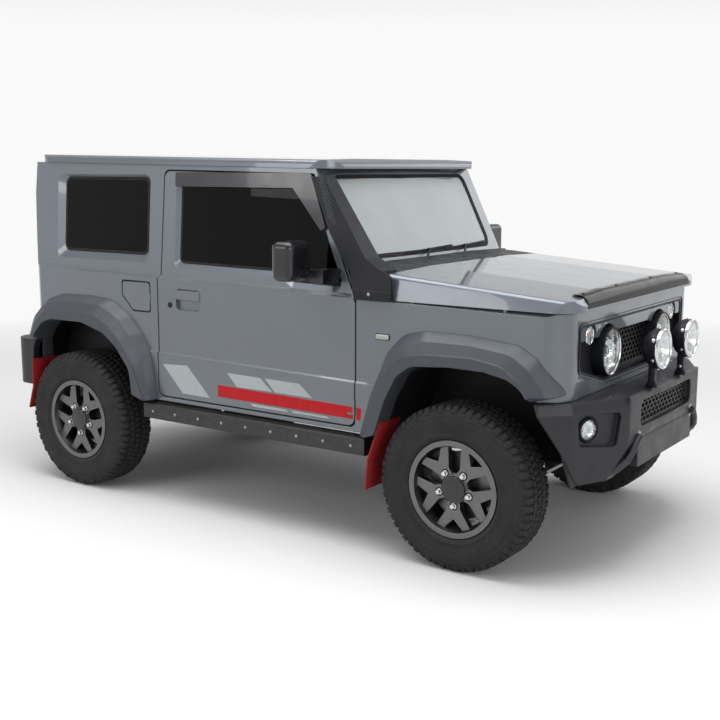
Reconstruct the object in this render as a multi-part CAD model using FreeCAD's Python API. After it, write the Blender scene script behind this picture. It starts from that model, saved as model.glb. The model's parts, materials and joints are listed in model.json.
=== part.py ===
"""Small three-door off-road car on a ladder frame, one solid or set of solids for every sub-part.

Lengths are millimetres. X points forward, Y to the car's left and Z up. The origin lies on the
ground below the middle of the car. Sizes stand at the top, and every piece is worked out from them.
A name that ends in share or shares holds plain ratios.
"""
import FreeCAD
import Part
import math
import os

# Layout of the car
wheelbase = 2250.0
axle_shift = 15.0
front_axle_x = wheelbase / 2 + axle_shift
rear_axle_x = front_axle_x - wheelbase
front_track = 1395.0
rear_track = 1405.0
overrun = 400.0
seat_gap = 0.3
shut_gap = 7.0
hairline = 0.1

# Body shell
body_half_width = 737.0
sill_bulge = 8.0
sill_half_width = body_half_width + sill_bulge
body_bottom_z = 515.0
sill_crease_height = 229.0
sill_crease_z = body_bottom_z + sill_crease_height
sill_crease_rise = 7.0
belt_height = 596.0
belt_z = body_bottom_z + belt_height
belt_ledge_rise = 14.0
belt_tuck = 23.0
belt_half_width = body_half_width - belt_tuck
glass_house_height = 544.0
gutter_z = belt_z + glass_house_height
gutter_tuck = 63.0
gutter_half_width = body_half_width - gutter_tuck
rake_share = 0.017
wall = 55.0
tail_setback = 405.0
tail_x = rear_axle_x - tail_setback
tail_lean = 28.0
tail_corner_radius = 130.0
door_front_setback = 516.0
cabin_front_x = front_axle_x - door_front_setback
post_depth = 64.0
screen_base_setback = 559.0
screen_base_x = front_axle_x - screen_base_setback
screen_base_height = 114.0
screen_base_z = belt_z + screen_base_height
screen_slope_share = 0.455
screen_bow = 30.0

# Roof panel
roof_edge_height = 39.0
roof_edge_z = gutter_z + roof_edge_height
roof_crown = 7.0
roof_crown_z = roof_edge_z + roof_crown
roof_overhang = 8.0
roof_edge_radius = 26.0
roof_skin = 32.0
roof_front_lip = 52.0
roof_corner_radius = 120.0

# Tailgate opening
tail_post_width = 147.0
tailgate_half_width = body_half_width - tail_post_width
tailgate_sill_height = 250.0
tailgate_bottom_z = body_bottom_z + tailgate_sill_height
tailgate_top_drop = 3.0
tailgate_top_z = gutter_z - tailgate_top_drop
tailgate_radius = 60.0
tailgate_hinge_height = 190.0
tailgate_hinge_z = tailgate_bottom_z + tailgate_hinge_height
tailgate_hinge_half_gap = 100.0
tailgate_hinge_radius = 9.0
tailgate_hinge_half = 26.0
tailgate_hinge_leaf = 52.0
rear_glass_border = 150.0
rear_glass_half_width = tailgate_half_width - rear_glass_border
rear_glass_rise = 94.0
rear_glass_bottom_z = belt_z + rear_glass_rise
rear_glass_drop = 67.0
rear_glass_top_z = tailgate_top_z - rear_glass_drop
rear_glass_radius = 45.0
frame_band = 70.0

# Side doors
door_length = 1176.0
door_sill_height = 27.0
door_bottom_z = body_bottom_z + door_sill_height
door_belt_drop = 13.0
door_belt_front_z = belt_z - door_belt_drop
door_pillar_foot = 29.0
door_pillar_foot_rise = 21.0
door_pillar_foot_z = belt_z + door_pillar_foot_rise
door_pillar_top = 259.0
door_top_drop = 16.0
door_corner_radius = 34.0
door_bevel_share = 0.2
hinge_stand_off = 3.0
hinge_rise = 48.0
hinge_low_z = door_bottom_z + hinge_rise
hinge_height = 70.0
hinge_leaf = 36.0

# Side glass
glass_thickness = 6.0
glass_depth = 16.0
door_glass_rear = 112.0
door_glass_front = 76.0
door_glass_drop = 55.0
door_glass_top_z = gutter_z - door_glass_drop
door_glass_rise = 85.0
door_glass_bottom_z = belt_z + door_glass_rise
door_glass_dip = 56.0
door_glass_dip_z = door_glass_bottom_z - door_glass_dip
door_glass_radius = 26.0
quarter_rear = 243.0
quarter_front = 94.0
quarter_drop = 51.0
quarter_top_z = gutter_z - quarter_drop
quarter_rise = 113.0
quarter_bottom_z = belt_z + quarter_rise
quarter_radius = 38.0
window_bevels = (44.0, 36.0, 14.0, 16.0)
door_window_bevels = (26.0, 24.0, 5.0, 5.0)
shield_tip = 80.0

# Windscreen
screen_side_border = 119.0
screen_half_base = body_half_width - screen_side_border
screen_taper = 30.0
screen_half_top = screen_half_base - screen_taper
screen_sill = 25.0
screen_bottom_z = screen_base_z + screen_sill
screen_top_drop = 33.0
screen_top_z = gutter_z - screen_top_drop
screen_radius = 55.0

# Front end
nose_reach = 450.0
nose_x = front_axle_x + nose_reach
nose_corner_radius = 130.0
wing_drop = 13.0
wing_top_z = belt_z - wing_drop
wing_skin = 25.0
front_panel_half_width = body_half_width - nose_corner_radius
front_panel_height = 346.0
front_panel_bottom_z = wing_top_z - front_panel_height
bonnet_rear_setback = 370.0
bonnet_rear_x = front_axle_x - bonnet_rear_setback
bonnet_front_reach = 482.0
bonnet_front_x = front_axle_x + bonnet_front_reach
bonnet_tuck = 25.0
bonnet_crease_half_width = body_half_width - bonnet_tuck
bonnet_rear_height = 114.0
bonnet_rear_crease_z = wing_top_z + bonnet_rear_height
bonnet_front_height = 49.0
bonnet_front_crease_z = wing_top_z + bonnet_front_height
bonnet_crown = 14.0
bonnet_edge_radius = 24.0
bonnet_skin = 25.0
bonnet_nose_drop = 34.0
cowl_gap = 5.0

# Wheels
tyre_radius = 352.5
tyre_width = 216.0
bead_radius = 192.0
tread_half_width = 92.0
shoulder_drop = 12.0
tyre_wall = 14.0
rim_lip_radius = 206.0
rim_barrel_radius = 176.0
rim_half_width = 96.0
rim_skin = 8.0
spoke_face = 80.0
spoke_depth = 34.0
spoke_count = 5
spoke_half_width = 29.0
spoke_leg_half_width = 15.0
spoke_fork_share = 0.33
spoke_spread = 21.0
hub_radius = 66.0
hub_depth = 68.0
hub_cap_radius = 54.0
hub_cap_height = 9.0
stub_radius = 25.0
stub_length = 60.0
bore_clearance = 0.5
brake_radius = 142.0
drum_radius = 120.0
brake_gap = 20.0

# Wheel arches
arch_reach = 500.0
arch_sink = 90.0
liner_thickness = 8.0
front_liner_gap = 213.5
front_liner_inner = front_track / 2 - tyre_width / 2 - front_liner_gap
rear_liner_gap = 42.5
rear_liner_inner = rear_track / 2 - tyre_width / 2 - rear_liner_gap
flare_reach = 85.0
flare_half_width = body_half_width + flare_reach
flare_cap = 10.0
flare_crest_half_width = flare_half_width - flare_cap
flare_root = 60.0
flare_corner_radius = 110.0
flare_shoulder_share = 0.72
flare_run_share = 0.42
front_arch_shares = ((-0.824, 0.135), (-0.628, 0.691), (-0.512, 0.903), (-0.376, 0.997),
                     (-0.018, 1.025), (0.302, 1.021), (0.510, 0.979), (0.640, 0.900),
                     (0.720, 0.720), (0.880, 0.380), (0.960, 0.135))
front_flare_outer_shares = ((-0.978, 0.327), (-0.854, 0.719), (-0.712, 1.061), (-0.548, 1.227),
                            (-0.340, 1.277), (0.102, 1.273), (0.522, 1.235), (0.688, 1.139),
                            (0.852, 0.935), (0.880, 0.860))
front_flare_crest_shares = ((-0.850, 0.327), (-0.748, 0.675), (-0.600, 0.958), (-0.470, 1.070),
                            (-0.250, 1.107), (0.186, 1.119), (0.438, 1.081), (0.604, 0.967),
                            (0.700, 0.870), (0.706, 0.860))
rear_arch_shares = ((0.870, 0.325), (0.832, 0.621), (0.658, 0.833), (0.478, 0.961),
                    (0.162, 1.045), (-0.302, 1.041), (-0.444, 0.997), (-0.574, 0.869),
                    (-0.660, 0.695), (-0.674, 0.415), (-0.676, 0.285))
rear_flare_outer_shares = ((1.075, 0.327), (1.008, 0.769), (0.864, 0.975), (0.690, 1.157),
                           (0.448, 1.281), (0.160, 1.307), (-0.272, 1.295), (-0.516, 1.227),
                           (-0.706, 1.051), (-0.790, 0.831))
rear_flare_crest_shares = ((1.022, 0.327), (0.880, 0.645), (0.678, 0.911), (0.530, 1.051),
                           (0.314, 1.143), (0.100, 1.150), (-0.190, 1.145), (-0.416, 1.111),
                           (-0.546, 1.009), (-0.640, 0.831))

# Mud flaps
flap_thickness = 6.0
flap_width = 166.0
flap_tuck = 16.0
flap_outer = flare_half_width - flap_tuck
flap_inner = flap_outer - flap_width
front_flap_bottom_z = 285.0
rear_flap_bottom_z = 372.0
rear_flap_lean = 40.0
flap_top_z = 640.0

# Steering
kingpin_inset = 80.5
kingpin_half_track = front_track / 2 - kingpin_inset
ball_radius = 58.0
knuckle_shell = 12.0
knuckle_gap = 0.6
kingpin_radius = 20.0
kingpin_height = 12.0
arm_reach = 118.0
arm_drop = 30.0
arm_half_width = 16.0
arm_thickness = 16.0
tie_rod_radius = 13.0

# Axles, springs and dampers
axle_radius = 40.0
diff_radius = 90.0
diff_half_length = 95.0
diff_nose_reach = 165.0
diff_nose_radius = 48.0
diff_offset = -150.0
pad_half_length = 125.0
pad_half_width = 52.0
pad_thickness = 12.0
spring_radius = 50.0
spring_turns = 5
spring_wire = 13.0
spring_wire_sides = 8
damper_radius = 20.0
link_radius = 18.0
link_reach = 520.0

# Ladder frame
rail_outer = 345.0
rail_width = 60.0
rail_inner = rail_outer - rail_width
rail_low_z = 410.0
rail_height = 100.0
rail_rise = 150.0
rail_rise_z = rail_low_z + rail_rise
rail_horn_rise = 60.0
rail_horn_z = rail_low_z + rail_horn_rise
rail_front_reach = 520.0
rail_rear_reach = 430.0
rise_half_length = 190.0
rise_run = 170.0
cross_radius = 20.0
cross_rise = 35.0
cross_z = rail_low_z + cross_rise
mount_radius = 34.0

# Floor
floor_rise = 20.0
floor_z = rail_low_z + rail_height + floor_rise
floor_thickness = 16.0
floor_edge_gap = 2.0
floor_half_width = body_half_width - wall - floor_edge_gap
rear_floor_rise = 130.0
rear_floor_z = floor_z + rear_floor_rise
rear_floor_front = 560.0
rear_floor_half_width = rear_liner_inner
toe_run = 110.0
toe_rise = 180.0
firewall_x = cabin_front_x + post_depth - floor_thickness
firewall_drop = 21.0
firewall_top_z = belt_z - firewall_drop

# Front bumper
bumper_front_reach = 615.0
bumper_front_x = front_axle_x + bumper_front_reach
bumper_panel_lap = 2.0
bumper_top_z = front_panel_bottom_z - bumper_panel_lap
bumper_height = 330.0
bumper_bottom_z = bumper_top_z - bumper_height
bumper_wall = 36.0
bumper_tuck = 20.0
bumper_half_width = flare_half_width - bumper_tuck
bumper_mouth_half_width = 310.0
mouth_height = 110.0
mouth_drop = 34.0
bumper_mouth_top_z = bumper_top_z - mouth_drop
bumper_mouth_bottom_z = bumper_mouth_top_z - mouth_height
mouth_columns = 15
mouth_rows = 5
mesh_web = 6.0
plate_height = 115.0
plate_drop = 50.0
plate_top_z = bumper_mouth_bottom_z - plate_drop
plate_bottom_z = plate_top_z - plate_height
plate_half_width = 330.0
plate_setback = 6.0
plate_radius = 8.0
bumper_end_reach = 275.0
bumper_chamfer_run = 140.0
bumper_chamfer_width = 112.0
bumper_chamfer_half_width = bumper_half_width - bumper_chamfer_width
bumper_end_run = 110.0
bumper_slant_width = 270.0
bumper_flat_half_width = bumper_chamfer_half_width - bumper_slant_width
bumper_bow = 10.0
bumper_corner_radius = 40.0
bumper_chin_run = 60.0
fog_inset = 90.0
fog_y = bumper_chamfer_half_width - fog_inset
fog_drop = 116.0
fog_z = bumper_top_z - fog_drop
fog_radius = 52.0
fog_depth = 30.0
fog_pocket_depth = 24.0
fog_pocket_radius = 22.0
fog_pocket_half_height = 70.0
fog_pocket_rise = 11.0
fog_pocket_front = 156.0
fog_pocket_rear = 74.0
ledge_drop = 42.0
ledge_depth = 34.0
ledge_start = 436.0
ledge_slant = 90.0

# Grille and lamps
grille_border = 17.0
grille_half_width = front_panel_half_width - grille_border
grille_drop = 56.0
grille_top_z = wing_top_z - grille_drop
grille_shoulder_drop = 187.0
grille_shoulder_z = grille_top_z - grille_shoulder_drop
grille_bottom_half_width = 330.0
grille_height = 258.0
grille_bottom_z = grille_top_z - grille_height
grille_radius = 22.0
grille_depth = 44.0
grille_skin = 10.0
lamp_y = 298.0
lamp_drop = 137.0
lamp_z = grille_top_z - lamp_drop
lamp_radius = 104.0
lamp_proud = 26.0
lamp_bezel = 9.0
indicator_offset = 174.0
indicator_y = lamp_y + indicator_offset
indicator_drop = 50.0
indicator_z = grille_top_z - indicator_drop
indicator_radius = 40.0
mesh_half_width = 190.0
mesh_height = 173.0
mesh_drop = 57.0
mesh_top_z = grille_top_z - mesh_drop
mesh_bottom_z = mesh_top_z - mesh_height
mesh_columns = 10
mesh_rows = 8
brow_height = 66.0
brow_depth = 22.0
brow_setback = 3.0
brow_gap = 12.0
spot_y = 178.0
spot_height = 167.0
spot_z = bumper_top_z + spot_height
spot_radius = 86.0
spot_depth = 84.0
spot_lead = 36.0
spot_front_x = bumper_front_x + spot_lead
spot_foot = 24.0

# Rear bumper and lamps
rear_bumper_reach = 500.0
rear_bumper_x = rear_axle_x - rear_bumper_reach
rear_bumper_drop = 20.0
rear_bumper_top_z = tailgate_bottom_z - rear_bumper_drop
rear_bumper_height = 245.0
rear_bumper_bottom_z = rear_bumper_top_z - rear_bumper_height
rear_bumper_tuck = 32.0
rear_bumper_half_width = flare_half_width - rear_bumper_tuck
rear_bumper_wall = 40.0
rear_lamp_width = 230.0
rear_lamp_inset = 90.0
rear_lamp_outer = rear_bumper_half_width - rear_lamp_inset
rear_lamp_inner = rear_lamp_outer - rear_lamp_width
rear_lamp_height = 90.0
rear_lamp_drop = 50.0
rear_lamp_top_z = rear_bumper_top_z - rear_lamp_drop
rear_lamp_bottom_z = rear_lamp_top_z - rear_lamp_height
rear_lamp_depth = 14.0

# Spare wheel
spare_y = 0.0
spare_rise = 80.0
spare_z = tailgate_bottom_z + spare_rise
spare_reach = 276.0
spare_rear_x = tail_x - spare_reach
spare_carrier_radius = 70.0
spare_clearance = 24.0

# Side steps
step_tuck = 37.0
step_inner = body_half_width - step_tuck
step_width = 75.0
step_outer = step_inner + step_width
step_height = 78.0
step_drop = 17.0
step_top_z = body_bottom_z - step_drop
step_bottom_z = step_top_z - step_height
step_front_setback = 448.0
step_rear_setback = 467.0
step_radius = 10.0
bracket_half_length = 34.0
bracket_height = 26.0

# Snorkel
snorkel_foot_proud = 21.0
snorkel_foot_half_width = body_half_width + snorkel_foot_proud
snorkel_duct_proud = 44.0
snorkel_depth = 97.0
snorkel_root = body_half_width - snorkel_depth
snorkel_foot_shares = ((0.00, -0.010), (1.00, -0.010), (0.96, 0.200), (0.60, 0.262),
                       (0.30, 0.330), (-0.20, 0.330), (-0.12, 0.180))
snorkel_duct_shares = ((0.40, 0.240), (0.24, 0.350), (-0.30, 0.640), (-0.96, 1.000),
                       (-1.38, 1.000), (-0.72, 0.520), (-0.22, 0.240))
snorkel_length = 190.0
snorkel_height = 512.0
snorkel_lead = 44.0
snorkel_base_x = screen_base_x + snorkel_lead
snorkel_base_rise = 5.0
snorkel_base_z = wing_top_z + snorkel_base_rise
snorkel_radius = 12.0

# Door mirrors
mirror_stand_off = 63.0
mirror_inner = body_half_width + mirror_stand_off
mirror_width = 165.0
mirror_outer = mirror_inner + mirror_width
mirror_setback = 289.0
mirror_rear_x = cabin_front_x - mirror_setback
mirror_length = 105.0
mirror_front_x = mirror_rear_x + mirror_length
mirror_drop = 21.0
mirror_bottom_z = door_glass_bottom_z - mirror_drop
mirror_height = 170.0
mirror_top_z = mirror_bottom_z + mirror_height
mirror_radius = 38.0
mirror_foot_setback = 104.0
mirror_foot_x = cabin_front_x - mirror_foot_setback
mirror_foot_length = 70.0
mirror_foot_height = 46.0

# Handle, fuel flap and indicator
handle_setback = 120.0
handle_length = 156.0
handle_drop = 87.0
handle_z = belt_z - handle_drop
handle_height = 100.0
handle_recess = 16.0
flap_reach = 305.0
flap_length = 187.0
flap_height = 140.0
flap_drop = 19.0
flap_high_z = belt_z - flap_drop
flap_low_z = flap_high_z - flap_height
flap_skin = 16.0
flap_corner_share = 0.38

# Rain shields
shield_thickness = 5.0
shield_proud = 16.0
shield_height = 67.0
shield_drop = 25.0
shield_high_z = gutter_z - shield_drop
shield_low_z = shield_high_z - shield_height

# Cabin furniture
seat_half_width = 245.0
seat_wall_gap = 87.0
seat_y = body_half_width - wall - seat_wall_gap - seat_half_width
seat_front_setback = 960.0
seat_length = 500.0
seat_base_z = floor_z + floor_thickness
cushion_rise = 174.0
cushion_z = seat_base_z + cushion_rise
cushion_height = 150.0
back_height = 560.0
back_depth = 130.0
back_lean_share = 0.22
head_half_width = 130.0
head_height = 180.0
head_gap = 30.0
cushion_radius = 40.0
rear_seat_gap = 12.0
rear_seat_half_width = rear_liner_inner - rear_seat_gap
rear_seat_front = 620.0
dash_end_gap = 97.0
dash_half_width = body_half_width - dash_end_gap
dash_depth = 294.0
dash_rear_x = cabin_front_x - dash_depth
dash_rise = 4.0
dash_top_z = belt_z + dash_rise
dash_height = 315.0
dash_bottom_z = dash_top_z - dash_height
wheel_rim_radius = 185.0
wheel_rim_wire = 15.0
wheel_spoke_angles = (8.0, 62.0, 118.0, 172.0)
steering_offset = 5.0
steering_y = steering_offset - seat_y
steering_reach = 115.0
steering_x = dash_rear_x - steering_reach
steering_drop = 130.0
steering_z = dash_top_z - steering_drop
steering_tilt = 24.0
column_radius = 34.0

# Engine bay and running gear
engine_front = 180.0
engine_rear_setback = 430.0
engine_half_width = 210.0
engine_drop = 60.0
engine_bottom_z = rail_rise_z - engine_drop
engine_height = 510.0
engine_top_z = engine_bottom_z + engine_height
gearbox_half_width = 105.0
gearbox_height = 59.0
gearbox_drop = 6.0
gearbox_top_z = floor_z - gearbox_drop
gearbox_bottom_z = gearbox_top_z - gearbox_height
gearbox_reach = 980.0
gearbox_rear = front_axle_x - gearbox_reach
gearbox_mount_setback = 190.0
gearbox_mount_x = gearbox_rear - gearbox_mount_setback
transfer_half_length = 130.0
transfer_half_width = 178.0
shaft_radius = 24.0
radiator_half_width = 270.0
radiator_thickness = 40.0
pipe_radius = 22.0
pipe_inset = 63.0
pipe_y = pipe_inset - rail_inner
pipe_rise = 82.0
pipe_z = rail_low_z + pipe_rise
muffler_radius = 60.0
muffler_length = 190.0
tank_length = 240.0

# Wipers
wiper_radius = 7.0
wiper_length = 420.0
wiper_pivot_reach = 95.0


def vec(x, y, z):
    return FreeCAD.Vector(x, y, z)


def side_plane(y):
    return lambda u, v: vec(u, y, v)


def front_plane(x):
    return lambda u, v: vec(x, u, v)


def plan_plane(z):
    return lambda u, v: vec(u, v, z)


# Outlines with rounded corners
def corner_arc(before, here, after, radius):
    """Start, middle and end of the tangent arc in one corner, as flat points."""
    back = (before[0] - here[0], before[1] - here[1])
    on = (after[0] - here[0], after[1] - here[1])
    back_length = math.hypot(*back)
    on_length = math.hypot(*on)
    back = (back[0] / back_length, back[1] / back_length)
    on = (on[0] / on_length, on[1] / on_length)
    cosine = max(-1, min(1, back[0] * on[0] + back[1] * on[1]))
    half = math.acos(cosine) / 2
    if radius <= 0 or half > math.pi / 2 * 0.998:
        return here, None, here
    reach = min(radius / math.tan(half), back_length * 0.48, on_length * 0.48)
    radius = reach * math.tan(half)
    bisector = (back[0] + on[0], back[1] + on[1])
    length = math.hypot(*bisector)
    bisector = (bisector[0] / length, bisector[1] / length)
    centre_reach = radius / math.sin(half)
    near = centre_reach - radius
    start = (here[0] + back[0] * reach, here[1] + back[1] * reach)
    end = (here[0] + on[0] * reach, here[1] + on[1] * reach)
    middle = (here[0] + bisector[0] * near, here[1] + bisector[1] * near)
    return start, middle, end


def rounded_wire(points, radii, place):
    """Closed wire through flat points, each corner with its own tangent arc."""
    count = len(points)
    if not isinstance(radii, (list, tuple)):
        radii = [radii] * count
    corners = []
    for index in range(count):
        before = points[index - 1]
        after = points[(index + 1) % count]
        corners.append(corner_arc(before, points[index], after, radii[index]))
    edges = []
    for index in range(count):
        start, middle, end = corners[index]
        if middle is not None:
            edges.append(Part.Arc(place(*start), place(*middle), place(*end)).toShape())
        onward = corners[(index + 1) % count][0]
        if place(*end).distanceToPoint(place(*onward)) > hairline / 10:
            edges.append(Part.makeLine(place(*end), place(*onward)))
    return Part.Wire(edges)


def prism(points, radii, place, sweep):
    return Part.Face(rounded_wire(points, radii, place)).extrude(sweep)


def side_prism(points, radii, y_start, y_end):
    """Solid with an outline seen from the side, between two places across the car."""
    return prism(points, radii, side_plane(y_start), vec(0, y_end - y_start, 0))


def front_prism(points, radii, x_start, x_end):
    return prism(points, radii, front_plane(x_start), vec(x_end - x_start, 0, 0))


def plan_prism(points, radii, z_start, z_end):
    return prism(points, radii, plan_plane(z_start), vec(0, 0, z_end - z_start))


def box(x_low, x_high, y_low, y_high, z_low, z_high):
    solid = Part.makeBox(x_high - x_low, y_high - y_low, z_high - z_low)
    solid.translate(vec(x_low, y_low, z_low))
    return solid


def rectangle(u_low, u_high, v_low, v_high):
    return [(u_low, v_low), (u_high, v_low), (u_high, v_high), (u_low, v_high)]


def rod(start, end, radius):
    axis = end - start
    return Part.makeCylinder(radius, axis.Length, start, axis)


def turned(profile, radii, centre, axis):
    """Solid turned about an axis: profile points are (distance from the axis, place along it)."""
    wire = rounded_wire(profile, radii, lambda u, v: vec(u, 0, v))
    solid = Part.Face(wire).revolve(vec(0, 0, 0), vec(0, 0, 1), 360)
    turn = FreeCAD.Rotation(vec(0, 0, 1), axis)
    solid.Placement = FreeCAD.Placement(centre, turn)
    return solid


def inset(points, distance):
    """Outline moved inwards by a distance, or outwards by a negative one."""
    area = 0
    count = len(points)
    for index in range(count):
        here = points[index]
        after = points[(index + 1) % count]
        area += here[0] * after[1] - after[0] * here[1]
    side = 1 if area > 0 else -1
    lines = []
    for index in range(count):
        here = points[index]
        after = points[(index + 1) % count]
        run = (after[0] - here[0], after[1] - here[1])
        length = math.hypot(*run)
        normal = (-run[1] / length * side, run[0] / length * side)
        lines.append((here[0] + normal[0] * distance, here[1] + normal[1] * distance, run))
    moved = []
    for index in range(count):
        x_a, y_a, run_a = lines[index - 1]
        x_b, y_b, run_b = lines[index]
        cross = run_a[0] * run_b[1] - run_a[1] * run_b[0]
        along = ((x_b - x_a) * run_b[1] - (y_b - y_a) * run_b[0]) / cross
        moved.append((x_a + run_a[0] * along, y_a + run_a[1] * along))
    return moved


def spread(shares, x, z, size):
    """Outline of points given as shares of a size, about a place."""
    return [(x + share[0] * size, z + share[1] * size) for share in shares]


def mirrored(shape):
    return shape.mirror(vec(0, 0, 0), vec(0, 1, 0))


def both_sides(shapes):
    return list(shapes) + [mirrored(shape) for shape in shapes]


def hole_pattern(low, high, columns, rows, web, x_start, x_end):
    """Staggered six-sided holes of a moulded mesh, seen from the front."""
    pitch = (high[0] - low[0]) / columns
    rise = (high[1] - low[1]) / (rows + 0.5)
    half_width = pitch / 2 - web / 2
    half_height = rise - web / 2
    holes = []
    for row in range(rows):
        z = low[1] + rise * (row + 0.75)
        shift = row % 2
        for column in range(columns - shift):
            y = low[0] + pitch * (column + 0.5 + shift / 2)
            points = [(y - half_width, z), (y - half_width / 2, z - half_height / 2),
                      (y + half_width / 2, z - half_height / 2), (y + half_width, z),
                      (y + half_width / 2, z + half_height / 2),
                      (y - half_width / 2, z + half_height / 2)]
            holes.append(front_prism(points, 0, x_start, x_end))
    return holes


def merge(shapes):
    return shapes[0].multiFuse(shapes[1:]).removeSplitter()


def cut(shape, tools):
    return shape.cut(Part.makeCompound(tools))


def solids_of(shapes):
    found = []
    for shape in shapes:
        found.extend(shape.Solids)
    return found


def save(name, shapes):
    """One file for a sub-part, which holds its solids."""
    solids = solids_of(shapes)
    whole = solids[0] if len(solids) == 1 else Part.makeCompound(solids)
    whole.exportStep("parts/" + name + ".step")


# Master forms of the body
def mirror_outline(half):
    """Whole outline from the points of its right half, given from the bottom up."""
    right = [(-u, v) for u, v in half]
    left = [(u, v) for u, v in reversed(half)]
    points = right + left
    kept = []
    for point in points:
        if not kept or math.hypot(point[0] - kept[-1][0], point[1] - kept[-1][1]) > hairline:
            kept.append(point)
    return kept


def raked_prism(points, radii, x_start, x_end):
    """Section along the car that sinks towards the front, given at the origin."""
    length = x_end - x_start
    place = lambda u, v: vec(x_start, u, v - x_start * rake_share)
    return prism(points, radii, place, vec(length, 0, -length * rake_share))


def body_section(depth):
    half = [(sill_half_width, body_bottom_z - overrun), (sill_half_width, sill_crease_z),
            (body_half_width, sill_crease_z + sill_crease_rise), (body_half_width, belt_z),
            (belt_half_width, belt_z + belt_ledge_rise), (gutter_half_width, gutter_z),
            (gutter_half_width - belt_ledge_rise, gutter_z + overrun)]
    return inset(mirror_outline(half), depth)


def screen_prism(depth):
    """Everything behind the windscreen's bowed and leaning face."""
    half = sill_half_width + overrun
    front = screen_base_x - depth * math.hypot(1, screen_slope_share)
    bow = screen_bow * (half / body_half_width) ** 2
    rise = overrun * 2
    lean = vec(-rise * 2 * screen_slope_share, 0, rise * 2)
    start_z = screen_base_z - rise
    start_x = front + rise * screen_slope_share
    back_x = tail_x - overrun
    corners = (vec(start_x - bow, -half, start_z), vec(start_x, 0, start_z),
               vec(start_x - bow, half, start_z))
    arc = Part.Arc(*corners).toShape()
    rear = [vec(back_x, half, start_z), vec(back_x, -half, start_z)]
    lines = Part.makePolygon([corners[2]] + rear + [corners[0]])
    return Part.Face(Part.Wire([arc] + lines.Edges)).extrude(lean)


def tail_outline(depth):
    top = gutter_z + overrun
    lean = tail_lean * (top - belt_z) / (gutter_z - belt_z)
    front_x = cabin_front_x + post_depth
    points = [(tail_x, body_bottom_z), (front_x, body_bottom_z), (front_x, top),
              (tail_x + lean, top), (tail_x, belt_z)]
    moved = inset(points, depth)
    if depth > 0:
        moved[0] = (moved[0][0], body_bottom_z - overrun)
        moved[1] = (moved[1][0], body_bottom_z - overrun)
    return moved


def cabin_plan(depth):
    x_front = cabin_front_x + overrun
    half = sill_half_width - depth
    rear_x = tail_x + depth
    corner = tail_corner_radius - depth
    return rectangle(rear_x, x_front, -half, half), [corner, 0, 0, corner]


def cabin_solid(depth):
    """The cabin as one solid, with its faces moved in by a depth."""
    x_start = tail_x - overrun
    x_end = cabin_front_x + overrun
    solid = raked_prism(body_section(depth), 0, x_start, x_end)
    solid = solid.common(side_prism(tail_outline(depth), 0, -sill_half_width, sill_half_width))
    points, radii = cabin_plan(depth)
    solid = solid.common(plan_prism(points, radii, 0, gutter_z + overrun))
    return solid.common(screen_prism(depth))


def below_gutter():
    """Space under the roof panel's raked lower face."""
    half = sill_half_width + overrun
    return raked_prism(rectangle(-half, half, 0, gutter_z), 0, tail_x - overrun, nose_x)


def bonnet_section(depth, crease_z):
    half = [(body_half_width - depth, wing_top_z - (overrun if depth > 0 else 0)),
            (bonnet_crease_half_width - depth, crease_z - depth),
            (bonnet_crease_half_width / 2, crease_z + bonnet_crown * 0.8 - depth)]
    return mirror_outline(half)


def bonnet_solid(depth, x_start, x_end):
    """Clamshell form between two places, lower towards the nose."""
    radius = bonnet_edge_radius - (bonnet_skin * 0.5 if depth > 0 else 0)
    fall = (bonnet_rear_crease_z - bonnet_front_crease_z) / (bonnet_front_x - bonnet_rear_x)
    wires = []
    for x in (x_start, x_end):
        crease_z = bonnet_rear_crease_z - (x - bonnet_rear_x) * fall
        points = bonnet_section(depth, crease_z)
        wires.append(rounded_wire(points, [0, radius, 0, 0, radius, 0], front_plane(x)))
    return Part.makeLoft(wires, True, True)


def nose_plan(depth, reach):
    """Outline of the front end from above, rounded at its two front corners."""
    half = sill_half_width - depth
    corner = nose_corner_radius - depth
    x_rear = cabin_front_x - (overrun if depth > 0 else 0)
    points = rectangle(x_rear, reach - depth, -half, half)
    return points, [0, corner, corner, 0]


def nose_solid(depth):
    points, radii = nose_plan(depth, nose_x)
    solid = plan_prism(points, radii, body_bottom_z - (overrun if depth > 0 else 0),
                       wing_top_z + (overrun if depth > 0 else 0))
    section = body_section(depth)
    return solid.common(raked_prism(section, 0, cabin_front_x - overrun, nose_x + overrun))


# Wheel arches
def front_arch():
    return spread(front_arch_shares, front_axle_x, tyre_radius, arch_reach)


def rear_arch():
    return spread(rear_arch_shares, rear_axle_x, tyre_radius, arch_reach)


def arch_prism(outline, y_start, y_end):
    """Space of one wheel arch, open at the bottom."""
    first = outline[0]
    last = outline[-1]
    points = [(first[0], first[1] - overrun)] + outline + [(last[0], last[1] - overrun)]
    radii = [0, 0] + [arch_sink] * (len(outline) - 2) + [0, 0]
    return side_prism(points, radii, y_start, y_end)


def grown_arch(outline, distance):
    """Arch outline moved outwards, from the wheel."""
    closed = outline + [(outline[-1][0], 0), (outline[0][0], 0)]
    return inset(closed, -distance)[:len(outline)]


def liners():
    made = []
    front_outer = body_half_width - wing_skin
    rear_outer = body_half_width - wall
    for outline, inner, outer in ((front_arch(), front_liner_inner, front_outer),
                                  (rear_arch(), rear_liner_inner, rear_outer)):
        grown = grown_arch(outline, liner_thickness)
        shell = arch_prism(grown, -outer, -inner)
        hollow = arch_prism(outline, -outer - overrun, -inner - liner_thickness)
        floor = min(outline[0][1], outline[-1][1])
        below = box(tail_x - overrun, nose_x + overrun, -outer - overrun, 0, -overrun, floor)
        made.append(cut(shell, [hollow, below]))
    made[1] = made[1].common(cabin_solid(wall))
    return both_sides(made)


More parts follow.
